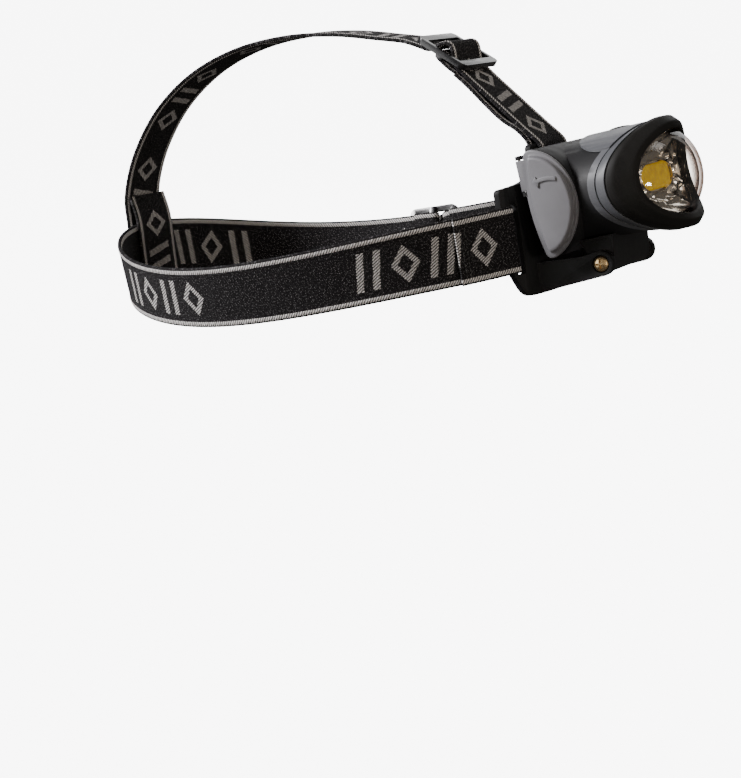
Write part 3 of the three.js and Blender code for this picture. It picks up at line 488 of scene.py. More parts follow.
def webbing(name, stations, start=0.0, ease=4, thick=WEB_THICK):
    """Woven ribbon with rounded edges and raised stripes, closed at both ends.

    Each point keeps how far along and across the webbing it lies, for the weave."""
    stations = even(stations, rounds=ease)
    points = []
    marks = {"along": [], "across": []}
    along = start
    previous = stations[0][0]
    for point, across, face in stations:
        along += (point - previous).length
        previous = point
        wave = math.sin(2 * math.pi * along / RIPPLE_PITCH)
        ripple = 1 + RIPPLE_HEIGHT * wave / (WEB_WIDTH / 2)
        for side in (1, -1):
            for place, height in WEB_COLUMNS[::side]:
                level = side * (thick / 2 + height)
                points.append(point + across * (place * ripple) + face * level)
                marks["along"].append(along)
                marks["across"].append(place)
    count = 2 * len(WEB_COLUMNS)
    faces = sides(count, len(stations))
    for base in (0, len(points) - count):
        for j in range(len(WEB_COLUMNS) - 1):
            faces.append((base + j, base + j + 1, base + count - 2 - j, base + count - 1 - j))
    return build(name, points, faces, marks)


STITCH_SPACING, STITCH_LENGTH, STITCH_RADIUS, STITCH_ROW_HALF = 2.1, 1.5, 0.2, 9.2
STITCH_PROFILE = ((-0.5, 0.1), (-0.42, 0.75), (-0.2, 1), (0.2, 1), (0.42, 0.75), (0.5, 0.1))


def stitches(name, station, rows, segments=6):
    """Rows of sewn thread across webbing: short capsules lying on its outer face."""
    points, faces = [], []
    capsule = tube(segments, len(STITCH_PROFILE))
    for row in rows:
        point, across, face = station(row)
        along = across.cross(face)
        for i in range(int(2 * STITCH_ROW_HALF / STITCH_SPACING) + 1):
            centre = point + across * (-STITCH_ROW_HALF + STITCH_SPACING * i)
            centre += face * (WEB_THICK / 2 + 0.1)
            base = len(points)
            faces += [tuple(base + k for k in corners) for corners in capsule]
            for f, swell in STITCH_PROFILE:
                sink = -0.12 * (2 * f) ** 2
                middle = centre + across * (f * STITCH_LENGTH) + face * sink
                for p, q in circle(0, 0, swell * STITCH_RADIUS, segments):
                    points.append(middle + along * p + face * q)
    return build(name, points, faces)


# ------------------------------------------------------------------------ materials


class Shader:
    """Principled material with short ways to add nodes."""

    def __init__(self, name, colour, roughness, **sockets):
        self.material = bpy.data.materials.new(name)
        self.material.use_nodes = True
        self.nodes = self.material.node_tree.nodes
        self.links = self.material.node_tree.links
        self.bsdf = self.nodes["Principled BSDF"]
        self.bsdf.inputs["Base Color"].default_value = (*colour, 1)
        self.bsdf.inputs["Roughness"].default_value = roughness
        for socket, value in sockets.items():
            self.bsdf.inputs[socket.replace("_", " ")].default_value = value

    def add(self, kind, **inputs):
        node = self.nodes.new(kind)
        for name, value in inputs.items():
            self.feed(node.inputs[name.replace("_", " ")], value)
        return node

    def feed(self, socket, value):
        if isinstance(value, bpy.types.NodeSocket):
            self.links.new(value, socket)
        else:
            socket.default_value = value

    def math(self, operation, *values):
        node = self.nodes.new("ShaderNodeMath")
        node.operation = operation
        for socket, value in zip(node.inputs, values):
            self.feed(socket, value)
        return node.outputs[0]

    def times(self, first, second):
        return self.math("MULTIPLY", first, second)

    def wave(self, value, pitch):
        return self.math("SINE", self.times(value, 2 * math.pi / pitch))

    def away(self, value, centre):
        return self.math("ABSOLUTE", self.math("SUBTRACT", value, centre))

    def near(self, value, centre, reach):
        """1 where value lies within reach of centre, else 0."""
        return self.math("LESS_THAN", self.away(value, centre), reach)

    def mark(self, label):
        """Number that the mesh's points keep under a label."""
        node = self.add("ShaderNodeAttribute")
        node.attribute_name = label
        return node.outputs["Fac"]

    def scaled(self, vector, factors):
        """vector with each part multiplied by its own factor."""
        node = self.nodes.new("ShaderNodeVectorMath")
        node.operation = "MULTIPLY"
        self.feed(node.inputs[0], vector)
        node.inputs[1].default_value = factors
        return node.outputs[0]

    def place(self):
        return self.add("ShaderNodeTexCoord").outputs["Object"]

    def spot(self):
        """Place on the object, in millimetres."""
        return self.scaled(self.place(), (1 / MM, 1 / MM, 1 / MM))

    def noise(self, vector, scale, detail=3, roughness=0.5):
        return self.add("ShaderNodeTexNoise", Vector=vector, Scale=scale, Detail=detail,
                        Roughness=roughness).outputs["Fac"]

    def ramp(self, value, low, high, start=0.0, end=1.0):
        """value mapped from low..high to start..end, held beyond."""
        node = self.add("ShaderNodeMapRange", Value=value)
        for name, number in (("From Min", low), ("From Max", high),
                             ("To Min", start), ("To Max", end)):
            self.feed(node.inputs[name], number)
        return node.outputs[0]

    def mix(self, factor, first, second):
        node = self.nodes.new("ShaderNodeMix")
        node.data_type = "RGBA"
        self.feed(node.inputs["Factor"], factor)
        for socket, value in zip(node.inputs[6:8], (first, second)):
            self.feed(socket, (*value, 1) if isinstance(value, tuple) else value)
        return node.outputs[2]

    def colour(self, value):
        self.feed(self.bsdf.inputs["Base Color"], value)

    def roughness(self, value):
        self.feed(self.bsdf.inputs["Roughness"], value)

    def bump(self, height, distance):
        node = self.add("ShaderNodeBump", Height=height, Distance=distance * MM, Strength=1.0)
        self.feed(self.bsdf.inputs["Normal"], node.outputs[0])

    def worn_edge(self):
        """Near 1 on outer edges, 0 elsewhere."""
        return self.ramp(self.add("ShaderNodeNewGeometry").outputs["Pointiness"], 0.53, 0.62)


def moulded(name, colour, roughness, grain=0.02, light=2.0, specular=0.5):
    """Moulded plastic: fine spark-eroded grain, faint handling marks, lighter edges."""
    shader = Shader(name, colour, roughness, Specular_IOR_Level=specular)
    spot = shader.spot()
    marks = shader.noise(spot, 0.12, 4, 0.6)
    edge = shader.times(shader.worn_edge(), 0.5)
    paler = tuple(min(1, c * light + 0.01) for c in colour)
    tint = shader.mix(shader.ramp(marks, 0.35, 0.7, 0, 0.25), colour, paler)
    shader.colour(shader.mix(edge, tint, paler))
    shader.roughness(shader.ramp(marks, 0.3, 0.7, roughness - 0.06, roughness + 0.08))
    shader.bump(shader.noise(spot, 3.2, 2), grain)
    return shader.material


def rubber(name):
    shader = Shader(name, (0.012, 0.012, 0.012), 0.7)
    shader.bump(shader.noise(shader.spot(), 5, 2), 0.02)
    return shader.material


def clear_plastic(name):
    """Clear dome: what is behind shows through, with gloss that grows at its edges and a painted
    brown-grey shade towards its edges in place of the refraction of a thick rim.
    """
    shader = Shader(name, (0.98, 0.98, 0.97), 0.04)
    shader.nodes.remove(shader.bsdf)
    edge = shader.add("ShaderNodeLayerWeight", Blend=0.32)
    # Painted shade: the see-through colour turns brown-grey at grazing angles, standing in for the
    # darker view refracted through the dome's edge
    thick = shader.ramp(edge.outputs["Facing"], 0.34, 0.6)
    tint = shader.mix(thick, (0.97, 0.96, 0.94), (0.25, 0.21, 0.19))
    clear = shader.add("ShaderNodeBsdfTransparent", Color=tint)
    gloss = shader.add("ShaderNodeBsdfGlossy", Color=(1, 1, 1, 1), Roughness=0.04)
    share = shader.ramp(shader.math("POWER", edge.outputs["Facing"], 3.2), 0, 1, 0.02, 0.85)
    mixed = shader.add("ShaderNodeMixShader")
    shader.feed(mixed.inputs[0], share)
    shader.feed(mixed.inputs[1], clear.outputs[0])
    shader.feed(mixed.inputs[2], gloss.outputs[0])
    shader.feed(shader.nodes["Material Output"].inputs["Surface"], mixed.outputs[0])
    return shader.material


def mirror_coat(name):
    shader = Shader(name, (0.86, 0.80, 0.73), 0.14, Metallic=1.0)
    spot = shader.spot()
    shader.roughness(shader.ramp(shader.noise(spot, 0.5), 0.3, 0.7, 0.1, 0.18))
    shader.bump(shader.noise(spot, 0.35, 2), 0.08)
    return shader.material


def phosphor(name):
    """Yellow phosphor layer, slightly uneven."""
    shader = Shader(name, (0.8, 0.52, 0.012), 0.6, Specular_IOR_Level=0.2)
    spot = shader.spot()
    cloud = shader.noise(spot, 0.35, 3)
    dark, bright = (0.70, 0.44, 0.008), (0.88, 0.60, 0.015)
    shader.colour(shader.mix(shader.ramp(cloud, 0.35, 0.65), dark, bright))
    shader.bump(shader.noise(spot, 1.6, 2), 0.05)
    return shader.material


def metal(name, colour, roughness, brush=(1, 1, 1), marks=0.25):
    """Plain metal with brush marks stretched along the axes given as small numbers."""
    shader = Shader(name, colour, roughness, Metallic=1.0)
    streaks = shader.noise(shader.scaled(shader.spot(), brush), 4, 3)
    darker = tuple(c * (1 - marks) for c in colour)
    shader.colour(shader.mix(shader.ramp(streaks, 0.3, 0.7), darker, colour))
    shader.roughness(shader.ramp(streaks, 0.3, 0.7, roughness - 0.08, roughness + 0.1))
    shader.bump(streaks, 0.01)
    return shader.material


def circuit_board(name):
    """Green solder mask with paler copper tracks under it."""
    shader = Shader(name, (0.01, 0.08, 0.035), 0.35)
    tracks = shader.add("ShaderNodeTexVoronoi", Vector=shader.spot(), Scale=0.35)
    tracks.feature = "DISTANCE_TO_EDGE"
    line = shader.ramp(tracks.outputs["Distance"], 0.05, 0.09, 1, 0)
    shader.colour(shader.mix(line, (0.01, 0.08, 0.035), (0.03, 0.2, 0.08)))
    shader.bump(line, 0.05)
    return shader.material


def cell_sleeve(name):
    """Battery: dark printed sleeve with a copper-coloured band, bare metal at both ends."""
    shader = Shader(name, (0.02, 0.03, 0.08), 0.3)
    parts = shader.add("ShaderNodeSeparateXYZ", Vector=shader.spot())
    middle = -1.95                       # middle of the row of cells along Y, in mm
    band = shader.math("GREATER_THAN", parts.outputs["Y"], 10)
    sleeve = shader.mix(band, (0.015, 0.02, 0.06), (0.35, 0.14, 0.05))
    bare = shader.math("GREATER_THAN", shader.away(parts.outputs["Y"], middle), 20.6)
    shader.colour(shader.mix(bare, sleeve, (0.6, 0.6, 0.61)))
    shader.feed(shader.bsdf.inputs["Metallic"], shader.ramp(bare, 0, 1, 0.15, 1))
    shader.roughness(shader.ramp(shader.noise(shader.spot(), 0.4), 0.3, 0.7, 0.24, 0.36))
    return shader.material


def speckled(name, colour, roughness, cloud, darker, grain, depth, **sockets):
    """Plain skin with darker clouds and a fine grain; cloud and grain are noise scales."""
    shader = Shader(name, colour, roughness, **sockets)
    spot = shader.spot()
    dark = tuple(c * darker for c in colour)
    shader.colour(shader.mix(shader.noise(spot, cloud), colour, dark))
    shader.bump(shader.noise(spot, grain), depth)
    return shader.material


def foam_cloth(name):
    """Foam faced with thin knitted cloth."""
    shader = Shader(name, (0.018, 0.018, 0.02), 0.92, Sheen_Weight=0.04, Specular_IOR_Level=0.15)
    spot = shader.spot()
    knit = shader.add("ShaderNodeTexVoronoi", Vector=spot, Scale=1.1)
    cells = shader.ramp(knit.outputs["Distance"], 0, 0.7)
    fuzz = shader.noise(spot, 2.5, 4)
    shader.colour(shader.mix(cells, (0.016, 0.016, 0.017), (0.006, 0.006, 0.0065)))
    shader.bump(shader.math("SUBTRACT", fuzz, cells), 0.15)
    return shader.material


# Woven motif, along and across the webbing in mm: slanted bars and open lozenges
GLYPH_PITCH = 14
GLYPH_HALF_HEIGHT, LOZENGE_HALF_WIDTH = 7.4, 5.6
BAR_PLACE, BAR_SLANT, STROKE_HALF = 3.1, 0.2, 1.35
STRIPE_HALF = 0.82
LOOP_PITCH = 1.05                    # one slanted thread to the next
COLUMN_PITCH, TWILL_PITCH = 0.68, 0.8


def woven(name, first_glyph, group_length, group_pitch):
    """Black twill with pale rope-like stripes, a pale woven motif in groups and painted glints: grey
    highlight specks painted into the black ground.
    """
    shader = Shader(name, (0.012, 0.011, 0.012), 0.9, Specular_IOR_Level=0.12)
    m, times, wave = shader.math, shader.times, shader.wave
    along, across = shader.mark("along"), shader.mark("across")
    flat = shader.add("ShaderNodeCombineXYZ", X=along, Y=across).outputs[0]
    height = m("ABSOLUTE", across)

    # Threads step sideways by a little at every loop, which frays the motif's outline
    fray = times(wave(across, LOOP_PITCH), 0.16)
    place = m("ADD", m("SUBTRACT", along, first_glyph), fray)
    in_group = m("FLOORED_MODULO", place, group_pitch)
    group = m("LESS_THAN", in_group, group_length)
    in_pair = m("FLOORED_MODULO", in_group, 2 * GLYPH_PITCH)
    lozenge_x = m("DIVIDE", shader.away(in_pair, GLYPH_PITCH * 0.5), LOZENGE_HALF_WIDTH)
    ring = m("ADD", lozenge_x, m("DIVIDE", height, GLYPH_HALF_HEIGHT))
    lozenge = shader.near(ring, 0.76, 0.23)
    bar_x = shader.away(m("ADD", in_pair, times(across, BAR_SLANT)), GLYPH_PITCH * 1.5)
    bars = shader.near(bar_x, BAR_PLACE, STROKE_HALF)
    bars = times(bars, m("LESS_THAN", height, GLYPH_HALF_HEIGHT))
    motif = times(m("MAXIMUM", lozenge, bars), group)

    loops = shader.ramp(wave(m("ADD", across, times(along, 0.62)), LOOP_PITCH), -0.9, 0.5)
    columns = shader.ramp(wave(along, COLUMN_PITCH), -1, 0.2, 0.55, 1)
    motif_thread = times(motif, times(loops, columns))

    stripe = shader.near(height, STRIPE, STRIPE_HALF)
    twist = wave(m("ADD", along, times(across, 0.75)), LOOP_PITCH)
    stripe_thread = times(stripe, shader.ramp(twist, -0.95, 0.3))
    pale = m("MAXIMUM", motif_thread, stripe_thread)

    twill = shader.ramp(wave(m("ADD", along, across), TWILL_PITCH), -1, 1)
    specks = shader.noise(flat, 1.5, 2, 0.7)
    # Painted highlight: grey glints painted into the black ground on the twill's raised threads, where
    # light would catch the yarn
    painted_glints = times(shader.ramp(specks, 0.52, 0.66), shader.ramp(twill, 0.2, 1))
    fuzz = shader.noise(flat, 1.1, 3)
    ground = shader.mix(painted_glints, (0.006, 0.0055, 0.006), (0.16, 0.155, 0.16))
    yarn = shader.mix(shader.ramp(fuzz, 0.3, 0.7), (0.46, 0.44, 0.43), (0.72, 0.70, 0.68))
    shader.colour(shader.mix(pale, ground, yarn))
    raised = m("ADD", times(pale, 0.9), times(twill, 0.35))
    shader.bump(m("ADD", raised, times(specks, 0.4)), 0.14)
    return shader.material


def plain_floor(name):
    shader = Shader(name, (0.9, 0.9, 0.9), 0.9, Specular_IOR_Level=0.1,
                    Emission_Color=(1, 1, 1, 1), Emission_Strength=BACKDROP)
    shade = shader.noise(shader.place(), 3, 2)
    shader.colour(shader.mix(shader.ramp(shade, 0.3, 0.7), (0.9, 0.9, 0.9), (0.88, 0.88, 0.885)))
    return shader.material


BLACK = moulded("black_shell", (0.0045, 0.0045, 0.005), 0.55, specular=0.16)
GLOSS_BLACK = moulded("gloss_black", (0.005, 0.005, 0.006), 0.24, grain=0.008, specular=0.5)
BEZEL_BLACK = moulded("bezel_black", (0.0045, 0.004, 0.0035), 0.6, light=1.4, specular=0.15)
GREY_COLLAR = moulded("grey_collar", (0.055, 0.057, 0.063), 0.45, grain=0.012, light=1.3,
                      specular=0.3)
GREY_CAP = moulded("grey_cap", (0.1, 0.099, 0.107), 0.55, grain=0.03, light=1.35)
RUBBER = rubber("black_rubber")
CLEAR = clear_plastic("clear_lens")
MIRROR = mirror_coat("bright_reflector")
PHOSPHOR = phosphor("yellow_phosphor")
BRASS = metal("brass", (0.72, 0.52, 0.27), 0.3, marks=0.5)
STEEL = metal("spring_steel", (0.55, 0.55, 0.56), 0.32)
ALUMINIUM = metal("aluminium", (0.78, 0.78, 0.8), 0.38, brush=(1, 0.08, 1))
BOARD = circuit_board("circuit_board")
CERAMIC = moulded("pale_board", (0.5, 0.47, 0.4), 0.5, light=1.2)
CELL = cell_sleeve("cell_sleeve")
RED_WIRE = speckled("red_insulation", (0.42, 0.02, 0.015), 0.4, 0.8, 0.6, 2, 0.02)
BLACK_WIRE = speckled("black_insulation", (0.015, 0.015, 0.015), 0.4, 0.8, 0.6, 2, 0.02)
FOAM = foam_cloth("black_foam")
THREAD = speckled("sewing_thread", (0.02, 0.02, 0.02), 0.7, 4, 0.55, 6, 0.04, Sheen_Weight=0.2)
HEADBAND_WEAVE = woven("headband_weave", 39, 4 * GLYPH_PITCH, 117)
CROWN_WEAVE = woven("crown_weave", 8, 3 * GLYPH_PITCH, 52)

# ------------------------------------------------------------------------- the lamp


def lamp_piece(obj, material, slot, node, angle=40):
    piece(obj, LAMP_BODY, material, slot, node, place=LAMP, angle=angle)


def on_cap_pin(name, radius, low, high, segments=32):
    """Rod about the cap's hinge."""
    return rod(name, "w", CAP_HINGE_U, CAP_HINGE_Y, radius, low, high, segments)


def make_housing():
    corner = 1.7
    rows = [(0.35, CASE_NEAR), (0.1, CASE_NEAR + 0.12), (0, CASE_NEAR + 0.4)]
    rows += [(0, y) for y in (-20, -10, 0, 10, 20)]
    rows += [(corner - x, CASE_FAR - corner + y) for x, y in arc(0, 0, corner, 0, 90, 6)]
    case = case_loft("housing", rows)
    barrel = oval_loft("barrel", (
        (26.8, 18.9, 10, 0), (BARREL_A, BARREL_B, 38.8, FRONT_WRAP),
        (28, 17.7, 38.8, FRONT_WRAP), (28, 17.7, 45.4, FRONT_WRAP),
        (26.4, 16.1, 45.4, FRONT_WRAP), (24.6, 16.1, 23.4, 0)))
    lug_side = EAR_INNER - 0.8
    lug_top = AXIS_W - BARREL_B + 2.5
    lug = arc(HINGE_U, HINGE_W, LUG_RADIUS, 180, 360, 20)
    lug += [(HINGE_U + LUG_RADIUS + 1.2, lug_top), (HINGE_U - LUG_RADIUS - 4.5, lug_top)]
    added = [barrel, slab("lug", lug, "uw", -lug_side, lug_side)]
    for low, high in ((KNUCKLE_LOW - 1.8, KNUCKLE_LOW - GAP), (KNUCKLE_HIGH + GAP, KNUCKLE_HIGH + 1.8)):
        added.append(on_cap_pin("knob", EAR_KNOB, low, high, 24))
        added.append(block("knob_root", (CAP_HINGE_U, CASE_NEAR, low), (4, CASE_NEAR + 2, high)))
    combine(case, added, "UNION")
    combine(case, [
        case_loft("cavity", [(CASE_WALL, CASE_NEAR - 4), (CASE_WALL, CASE_FAR - 3),
                             (CASE_WALL + 0.8, CASE_FAR - 2)]),
        rod("wire_hole", "u", 21.6, AXIS_W, 1.4, 12, 26, 16),
        rod("button_hole", "w", BUTTON_U, 0, BUTTON_RADIUS + GAP, AXIS_W + 10, AXIS_W + 24),
        rod("screw_hole", "y", HINGE_U, HINGE_W, SCREW_RADIUS + SCREW_FIT, -20, 20),
        on_cap_pin("pin_hole", PIN_RADIUS, KNUCKLE_LOW - 4, KNUCKLE_HIGH + 4, 24),
        on_cap_pin("knuckle_room", KNUCKLE_RADIUS + GAP, KNUCKLE_LOW - GAP, KNUCKLE_HIGH + GAP),
    ], "DIFFERENCE")
    bevelled(case, 0.3, 2, 50)
    lamp_piece(case, BLACK, "black_shell", "housing_shell", 32)


def make_collars():
    low, high, top = 0.35, 1.1, SEAM_U - 0.2
    ring = oval_loft("collar_rear_ring", (
        (*COLLAR_BORE, 39.2, FRONT_WRAP), (30.4, 19.9, 39.2, FRONT_WRAP),
        (30.5, 20, top, FRONT_WRAP), (*COLLAR_BORE, top, FRONT_WRAP)), closed=True)
    collar = oval_loft("rear_collar", (
        (BARREL_A + low, BARREL_B + low, 10, 0), (BARREL_A + high, BARREL_B + high, 10, 0),
        (BARREL_A + high, BARREL_B + high, top, FRONT_WRAP),
        (BARREL_A + low, BARREL_B + low, top, FRONT_WRAP)), closed=True)
    tongue = slab("tongue", rounded_rectangle(19, -23, 60, 23, 12, 16), "uy", AXIS_W + 8, AXIS_W + 30)
    button_hole = rod("hole", "w", BUTTON_U, 0, BUTTON_RADIUS + GAP, AXIS_W, AXIS_W + 30)
    combine(collar, [tongue], "INTERSECT")
    combine(collar, [button_hole], "DIFFERENCE")
    combine(collar, [ring], "UNION")
    bevelled(collar, 0.28, 3, 45)
    lamp_piece(collar, GREY_COLLAR, "grey_collar", "collar_rear", 35)
    front = oval_ring("front_collar", [
        (*COLLAR_BORE, SEAM_U + 0.2, FRONT_WRAP), (30.5, 20, SEAM_U + 0.2, FRONT_WRAP),
        (31.3, 21.4, BEZEL_BACK - 0.4, BEZEL_WRAP), (*COLLAR_BORE, BEZEL_BACK - 0.4, BEZEL_WRAP)], 0.3)
    lamp_piece(front, GREY_COLLAR, "grey_collar", "collar_front")


def make_bezel():
    bezel = oval_ring("bezel", [
        (*COLLAR_BORE, BEZEL_BACK, BEZEL_WRAP, 0), (31.4, 21.3, BEZEL_BACK, BEZEL_WRAP, 0),
        (31.3, 21.2, 49.4, 13.6, BEZEL_CHIN), (28, 18.6, 52, 9.4, BEZEL_CHIN * 0.8),
        (25.7, 16, 52.1, RIM_WRAP, 0), (25.3, 15.6, RIM_U, RIM_WRAP, 0),
        (26.2, 16.6, 48.4, 8.4, 0)], 0.9)
    lamp_piece(bezel, BEZEL_BLACK, "black_shell", "bezel_ring")
    gasket = oval_ring("gasket", [
        (24.9, 15.3, 46.6, 8.2), (26.4, 16.6, 46.6, 8.8), (26, 16.4, 47.9, 8.6),
        (24.9, 15.3, 48.9, 8.2)], 0.3)
    lamp_piece(gasket, RUBBER, "black_rubber", "lens_gasket")


def make_lens():
    peak, wall, rings = 57, 1.6, 22
    outer = []
    for i in range(rings + 1):
        r = max(0.004, math.sin(math.pi / 2 * i / rings))
        swell = r ** 2.4
        outer.append((RIM_A * r, RIM_B * r, peak - (peak - RIM_U) * swell, RIM_WRAP * swell))
    inner = [(a * 0.965, b * 0.965, u - wall, wrap) for a, b, u, wrap in reversed(outer)]
    lamp_piece(oval_loft("dome_lens", outer + inner), CLEAR, "clear_lens", "lens", 60)


def make_reflector():
    """Mirror bowl: narrow petals round the light source, broad facets out to the lens."""

    def spread(point, share):
        """Point moved out from the beam axis by a share of its distance."""
        u, side, w = point
        return (u, side * (1 + share), AXIS_W + (w - AXIS_W) * (1 + share))

    def back(point, depth):
        return (point[0] - depth, *point[1:])

    inner = (16.1, 5.7, 40.9, 0)
    control = (20.6, 9.8, 41.2, 1.2)
    outer = (24.4, 14.95, 48.6, 7.9)
    petals, facets, patch = 14, 9, 9
    steps = petals * facets * 2
    rings = []
    for i in range(2 * patch + 1):
        r = i / (2 * patch)
        level, x = divmod(r * 2, 1)
        first = level == 0 and i > 0
        row = [p * (1 - r) ** 2 + 2 * q * r * (1 - r) + e * r * r
               for p, q, e in zip(inner, control, outer)]
        along = math.sin(math.pi * x) ** 0.7
        ring = []
        for j in range(steps):
            count, depth = (petals, 1.3) if first else (facets, 1.6)
            y = (j * count / steps + 0.5) % 1
            dish = depth * along * (1 - abs(2 * y - 1) ** 2.4)
            point = oval_point(2 * math.pi * j / steps, *row)
            ring.append(spread(back(point, dish), 0.012 * dish))
        rings.append(ring)
    skirt = [
        [spread(back(point, 1), 0.012) for point in rings[-1]],
        oval((21.6, 11.2, 41, 2.4), steps),
        [back(point, 1.2) for point in rings[0]],
    ]
    bowl = loft("reflector_bowl", rings + skirt, closed=True)
    lamp_piece(bowl, MIRROR, "bright_reflector", "reflector", 28)


def make_light_source():
    rows = [(0, 39.3), (0, 39.95), (0.08, 40.1), (0.35, 40.2), (0.9, 40.22), (1.25, 40.12),
            (1.45, 40.1), (1.7, 40.2), (2.6, 40.26), (4.4, 40.3)]
    layer = loft("phosphor_layer", [
        placed_along("u", stadium(15.2 - inset, 4.9 - inset), u) for inset, u in rows])
    lamp_piece(layer, PHOSPHOR, "yellow_phosphor", "cob_phosphor")


def arrow_outline():
    """Bent arrow in the cap's plane: a gently arched band with a barbed head."""
    upper = bezier([(15.3, 20.1), (11.6, 21.5), (7.7, 20.6)], 8)
    lower = bezier([(8.1, 19.1), (11.6, 19.9), (14.9, 18.5)], 8)
    head = [(7.7, 20.6), (7.3, 21.7), (5.6, 19.8), (7.6, 17.2)]
    return upper + head + lower + [(14.9, 18.5)]


def make_cap():
    face = CASE_NEAR
    shift = 0.6
    cap = case_loft("battery_cover", [
        (2.4, face + 1.7), (2.15, face + 1.5), (2.1, face - 0.3), (0.5, face - 0.3),
        (0.15, face - 0.42), (0, face - 0.7), (0, face - 1.6), (0.12, face - 1.95),
        (0.45, face - 2.15), (0.8, face - 2.2), (1.7, face - 2.25, shift), (2.02, face - 2.4, shift),
        (2.15, face - 2.7, shift), (2.2, face - 3.6, shift), (2.32, face - 4.05, shift),
        (2.6, face - 4.33, shift), (3.0, face - 4.42, shift)])
    strap = bevelled(block("cover_strap", (CAP_HINGE_U - 1.1, face - 2.2, KNUCKLE_LOW),
                           (4.2, CAP_HINGE_Y - 0.1, KNUCKLE_HIGH)), 0.35)
    knuckle = on_cap_pin("knuckle", KNUCKLE_RADIUS, KNUCKLE_LOW, KNUCKLE_HIGH)
    combine(cap, [strap, knuckle], "UNION")
    combine(cap, [
        on_cap_pin("bore", PIN_RADIUS, 10, 40, 24),
        on_cap_pin("knob_room", EAR_KNOB + GAP, KNUCKLE_LOW - 2.15, KNUCKLE_LOW),
        on_cap_pin("knob_room", EAR_KNOB + GAP, KNUCKLE_HIGH, KNUCKLE_HIGH + 2.15),
    ], "DIFFERENCE")
    piece(cap, CAP_BODY, GREY_CAP, "grey_cap", "battery_cap", place=LAMP, angle=38)
    arrow = slab("opening_arrow", arrow_outline(), "uw", face - 4.95, face - 4.3)
    bevelled(arrow, 0.22, 3, 50)
    piece(arrow, CAP_BODY, GREY_CAP, "grey_cap", place=LAMP)


def make_button():
    button = turned("switch_dome", [
        (1.2, 28.6), (1.2, 29.2), (4.2, 29.2), (BUTTON_RADIUS, 29.5), (BUTTON_RADIUS, 31.5),
        (4.5, 31.85), (4.2, 32.1), (3.5, 32.38), (2.6, 32.53), (1.5, 32.64), (0.5, 32.68)],
        "w", BUTTON_U, 0, 64)
    piece(button, BUTTON_BODY, RUBBER, "black_rubber", "switch_button", place=LAMP)


# --------------------------------------------------------------- bracket and fastener


def plate_outline():
    """Right half of the plate's outline from its foot up, then its mirror."""
    corner, narrowing = 9, 3.2
    half, low, high, tab_top = PLATE_HALF, PLATE_BOTTOM, PLATE_TOP, CROWN_BAR_W + 2
    side = half - narrowing
    right = bezier([(half - corner, low), (side - 2, low), (side, low + 5)], 8)
    right += bezier([(side, low + 5), (half - 0.5, low + 11), (half, low + corner + 6)], 6)
    right += bezier([(half, high - 2), (half, high), (half - 2, high)], 6)
    right += bezier([(half - 2, high), (TAB_HALF + 8, high + 0.7), (TAB_HALF + 6, high + 1.5)], 4)
    right += bezier([(TAB_HALF + 6, high + 1.5), (TAB_HALF, high + 2), (TAB_HALF, high + 6)], 8)
    right += bezier([(TAB_HALF, tab_top - 2.2), (TAB_HALF, tab_top), (TAB_HALF - 2.2, tab_top)], 8)
    return right + [(-y, w) for y, w in reversed(right)]


def make_bracket():
    steps = 72
    half = PLATE_HALF + 1
    ys = [-half + 2 * half * i / steps for i in range(steps + 1)]
    outline = [(plate_surface(y) - PLATE_THICK / 2, y) for y in ys]
    outline += [(plate_surface(y) + PLATE_THICK / 2, y) for y in reversed(ys)]
    plate = slab("forehead_plate", outline, "uy", -30, 40)
    combine(plate, [slab("outline", plate_outline(), "yw", -30, 20)], "INTERSECT")
    outer = PLATE_HALF - WING_BAR
    inner = outer - SIDE_SLOT
    crown_top = CROWN_BAR_W - CROWN_BAR_HALF
    slots = [(inner, -SLOT_HALF, outer, SLOT_HALF), (-outer, -SLOT_HALF, -inner, SLOT_HALF),
             (-SLOT_HALF, crown_top - CROWN_SLOT, SLOT_HALF, crown_top)]
    combine(plate, [slab("slot", rounded_rectangle(*slot, 1), "yw", -30, 20) for slot in slots],
            "DIFFERENCE")
    hu, hw = HINGE_IN_PLATE.x, HINGE_IN_PLATE.z
    foot = PLATE_BOTTOM + 0.4
    arm = arc(hu, hw, EAR_RADIUS, -90, 90, 24)
    arm += [(hu - 7, hw + EAR_RADIUS - 1.2), (plate_surface(EAR_OUTER), -10.5),
            (plate_surface(EAR_OUTER), foot), (-3.2, foot)]
    arms = [slab("arm", arm, "uw", low, high)
            for low, high in ((-EAR_OUTER, -EAR_INNER), (EAR_INNER, EAR_OUTER))]
    combine(plate, arms, "UNION")
    combine(plate, [
        rod("bore", "y", hu, hw, SCREW_RADIUS + SCREW_FIT, -30, 30),
        rod("head_recess", "y", hu, hw, SCREW_HEAD_RADIUS + GAP, -30, -EAR_OUTER + 1.3),
        rod("nut_recess", "y", hu, hw, 3.2 + GAP, EAR_OUTER - 2, 30, 6)], "DIFFERENCE")
    bevelled(plate, 0.4, 3, 42)
    piece(plate, ROOT, BLACK, "black_shell", "forehead_bracket", place=PLATE, angle=35)


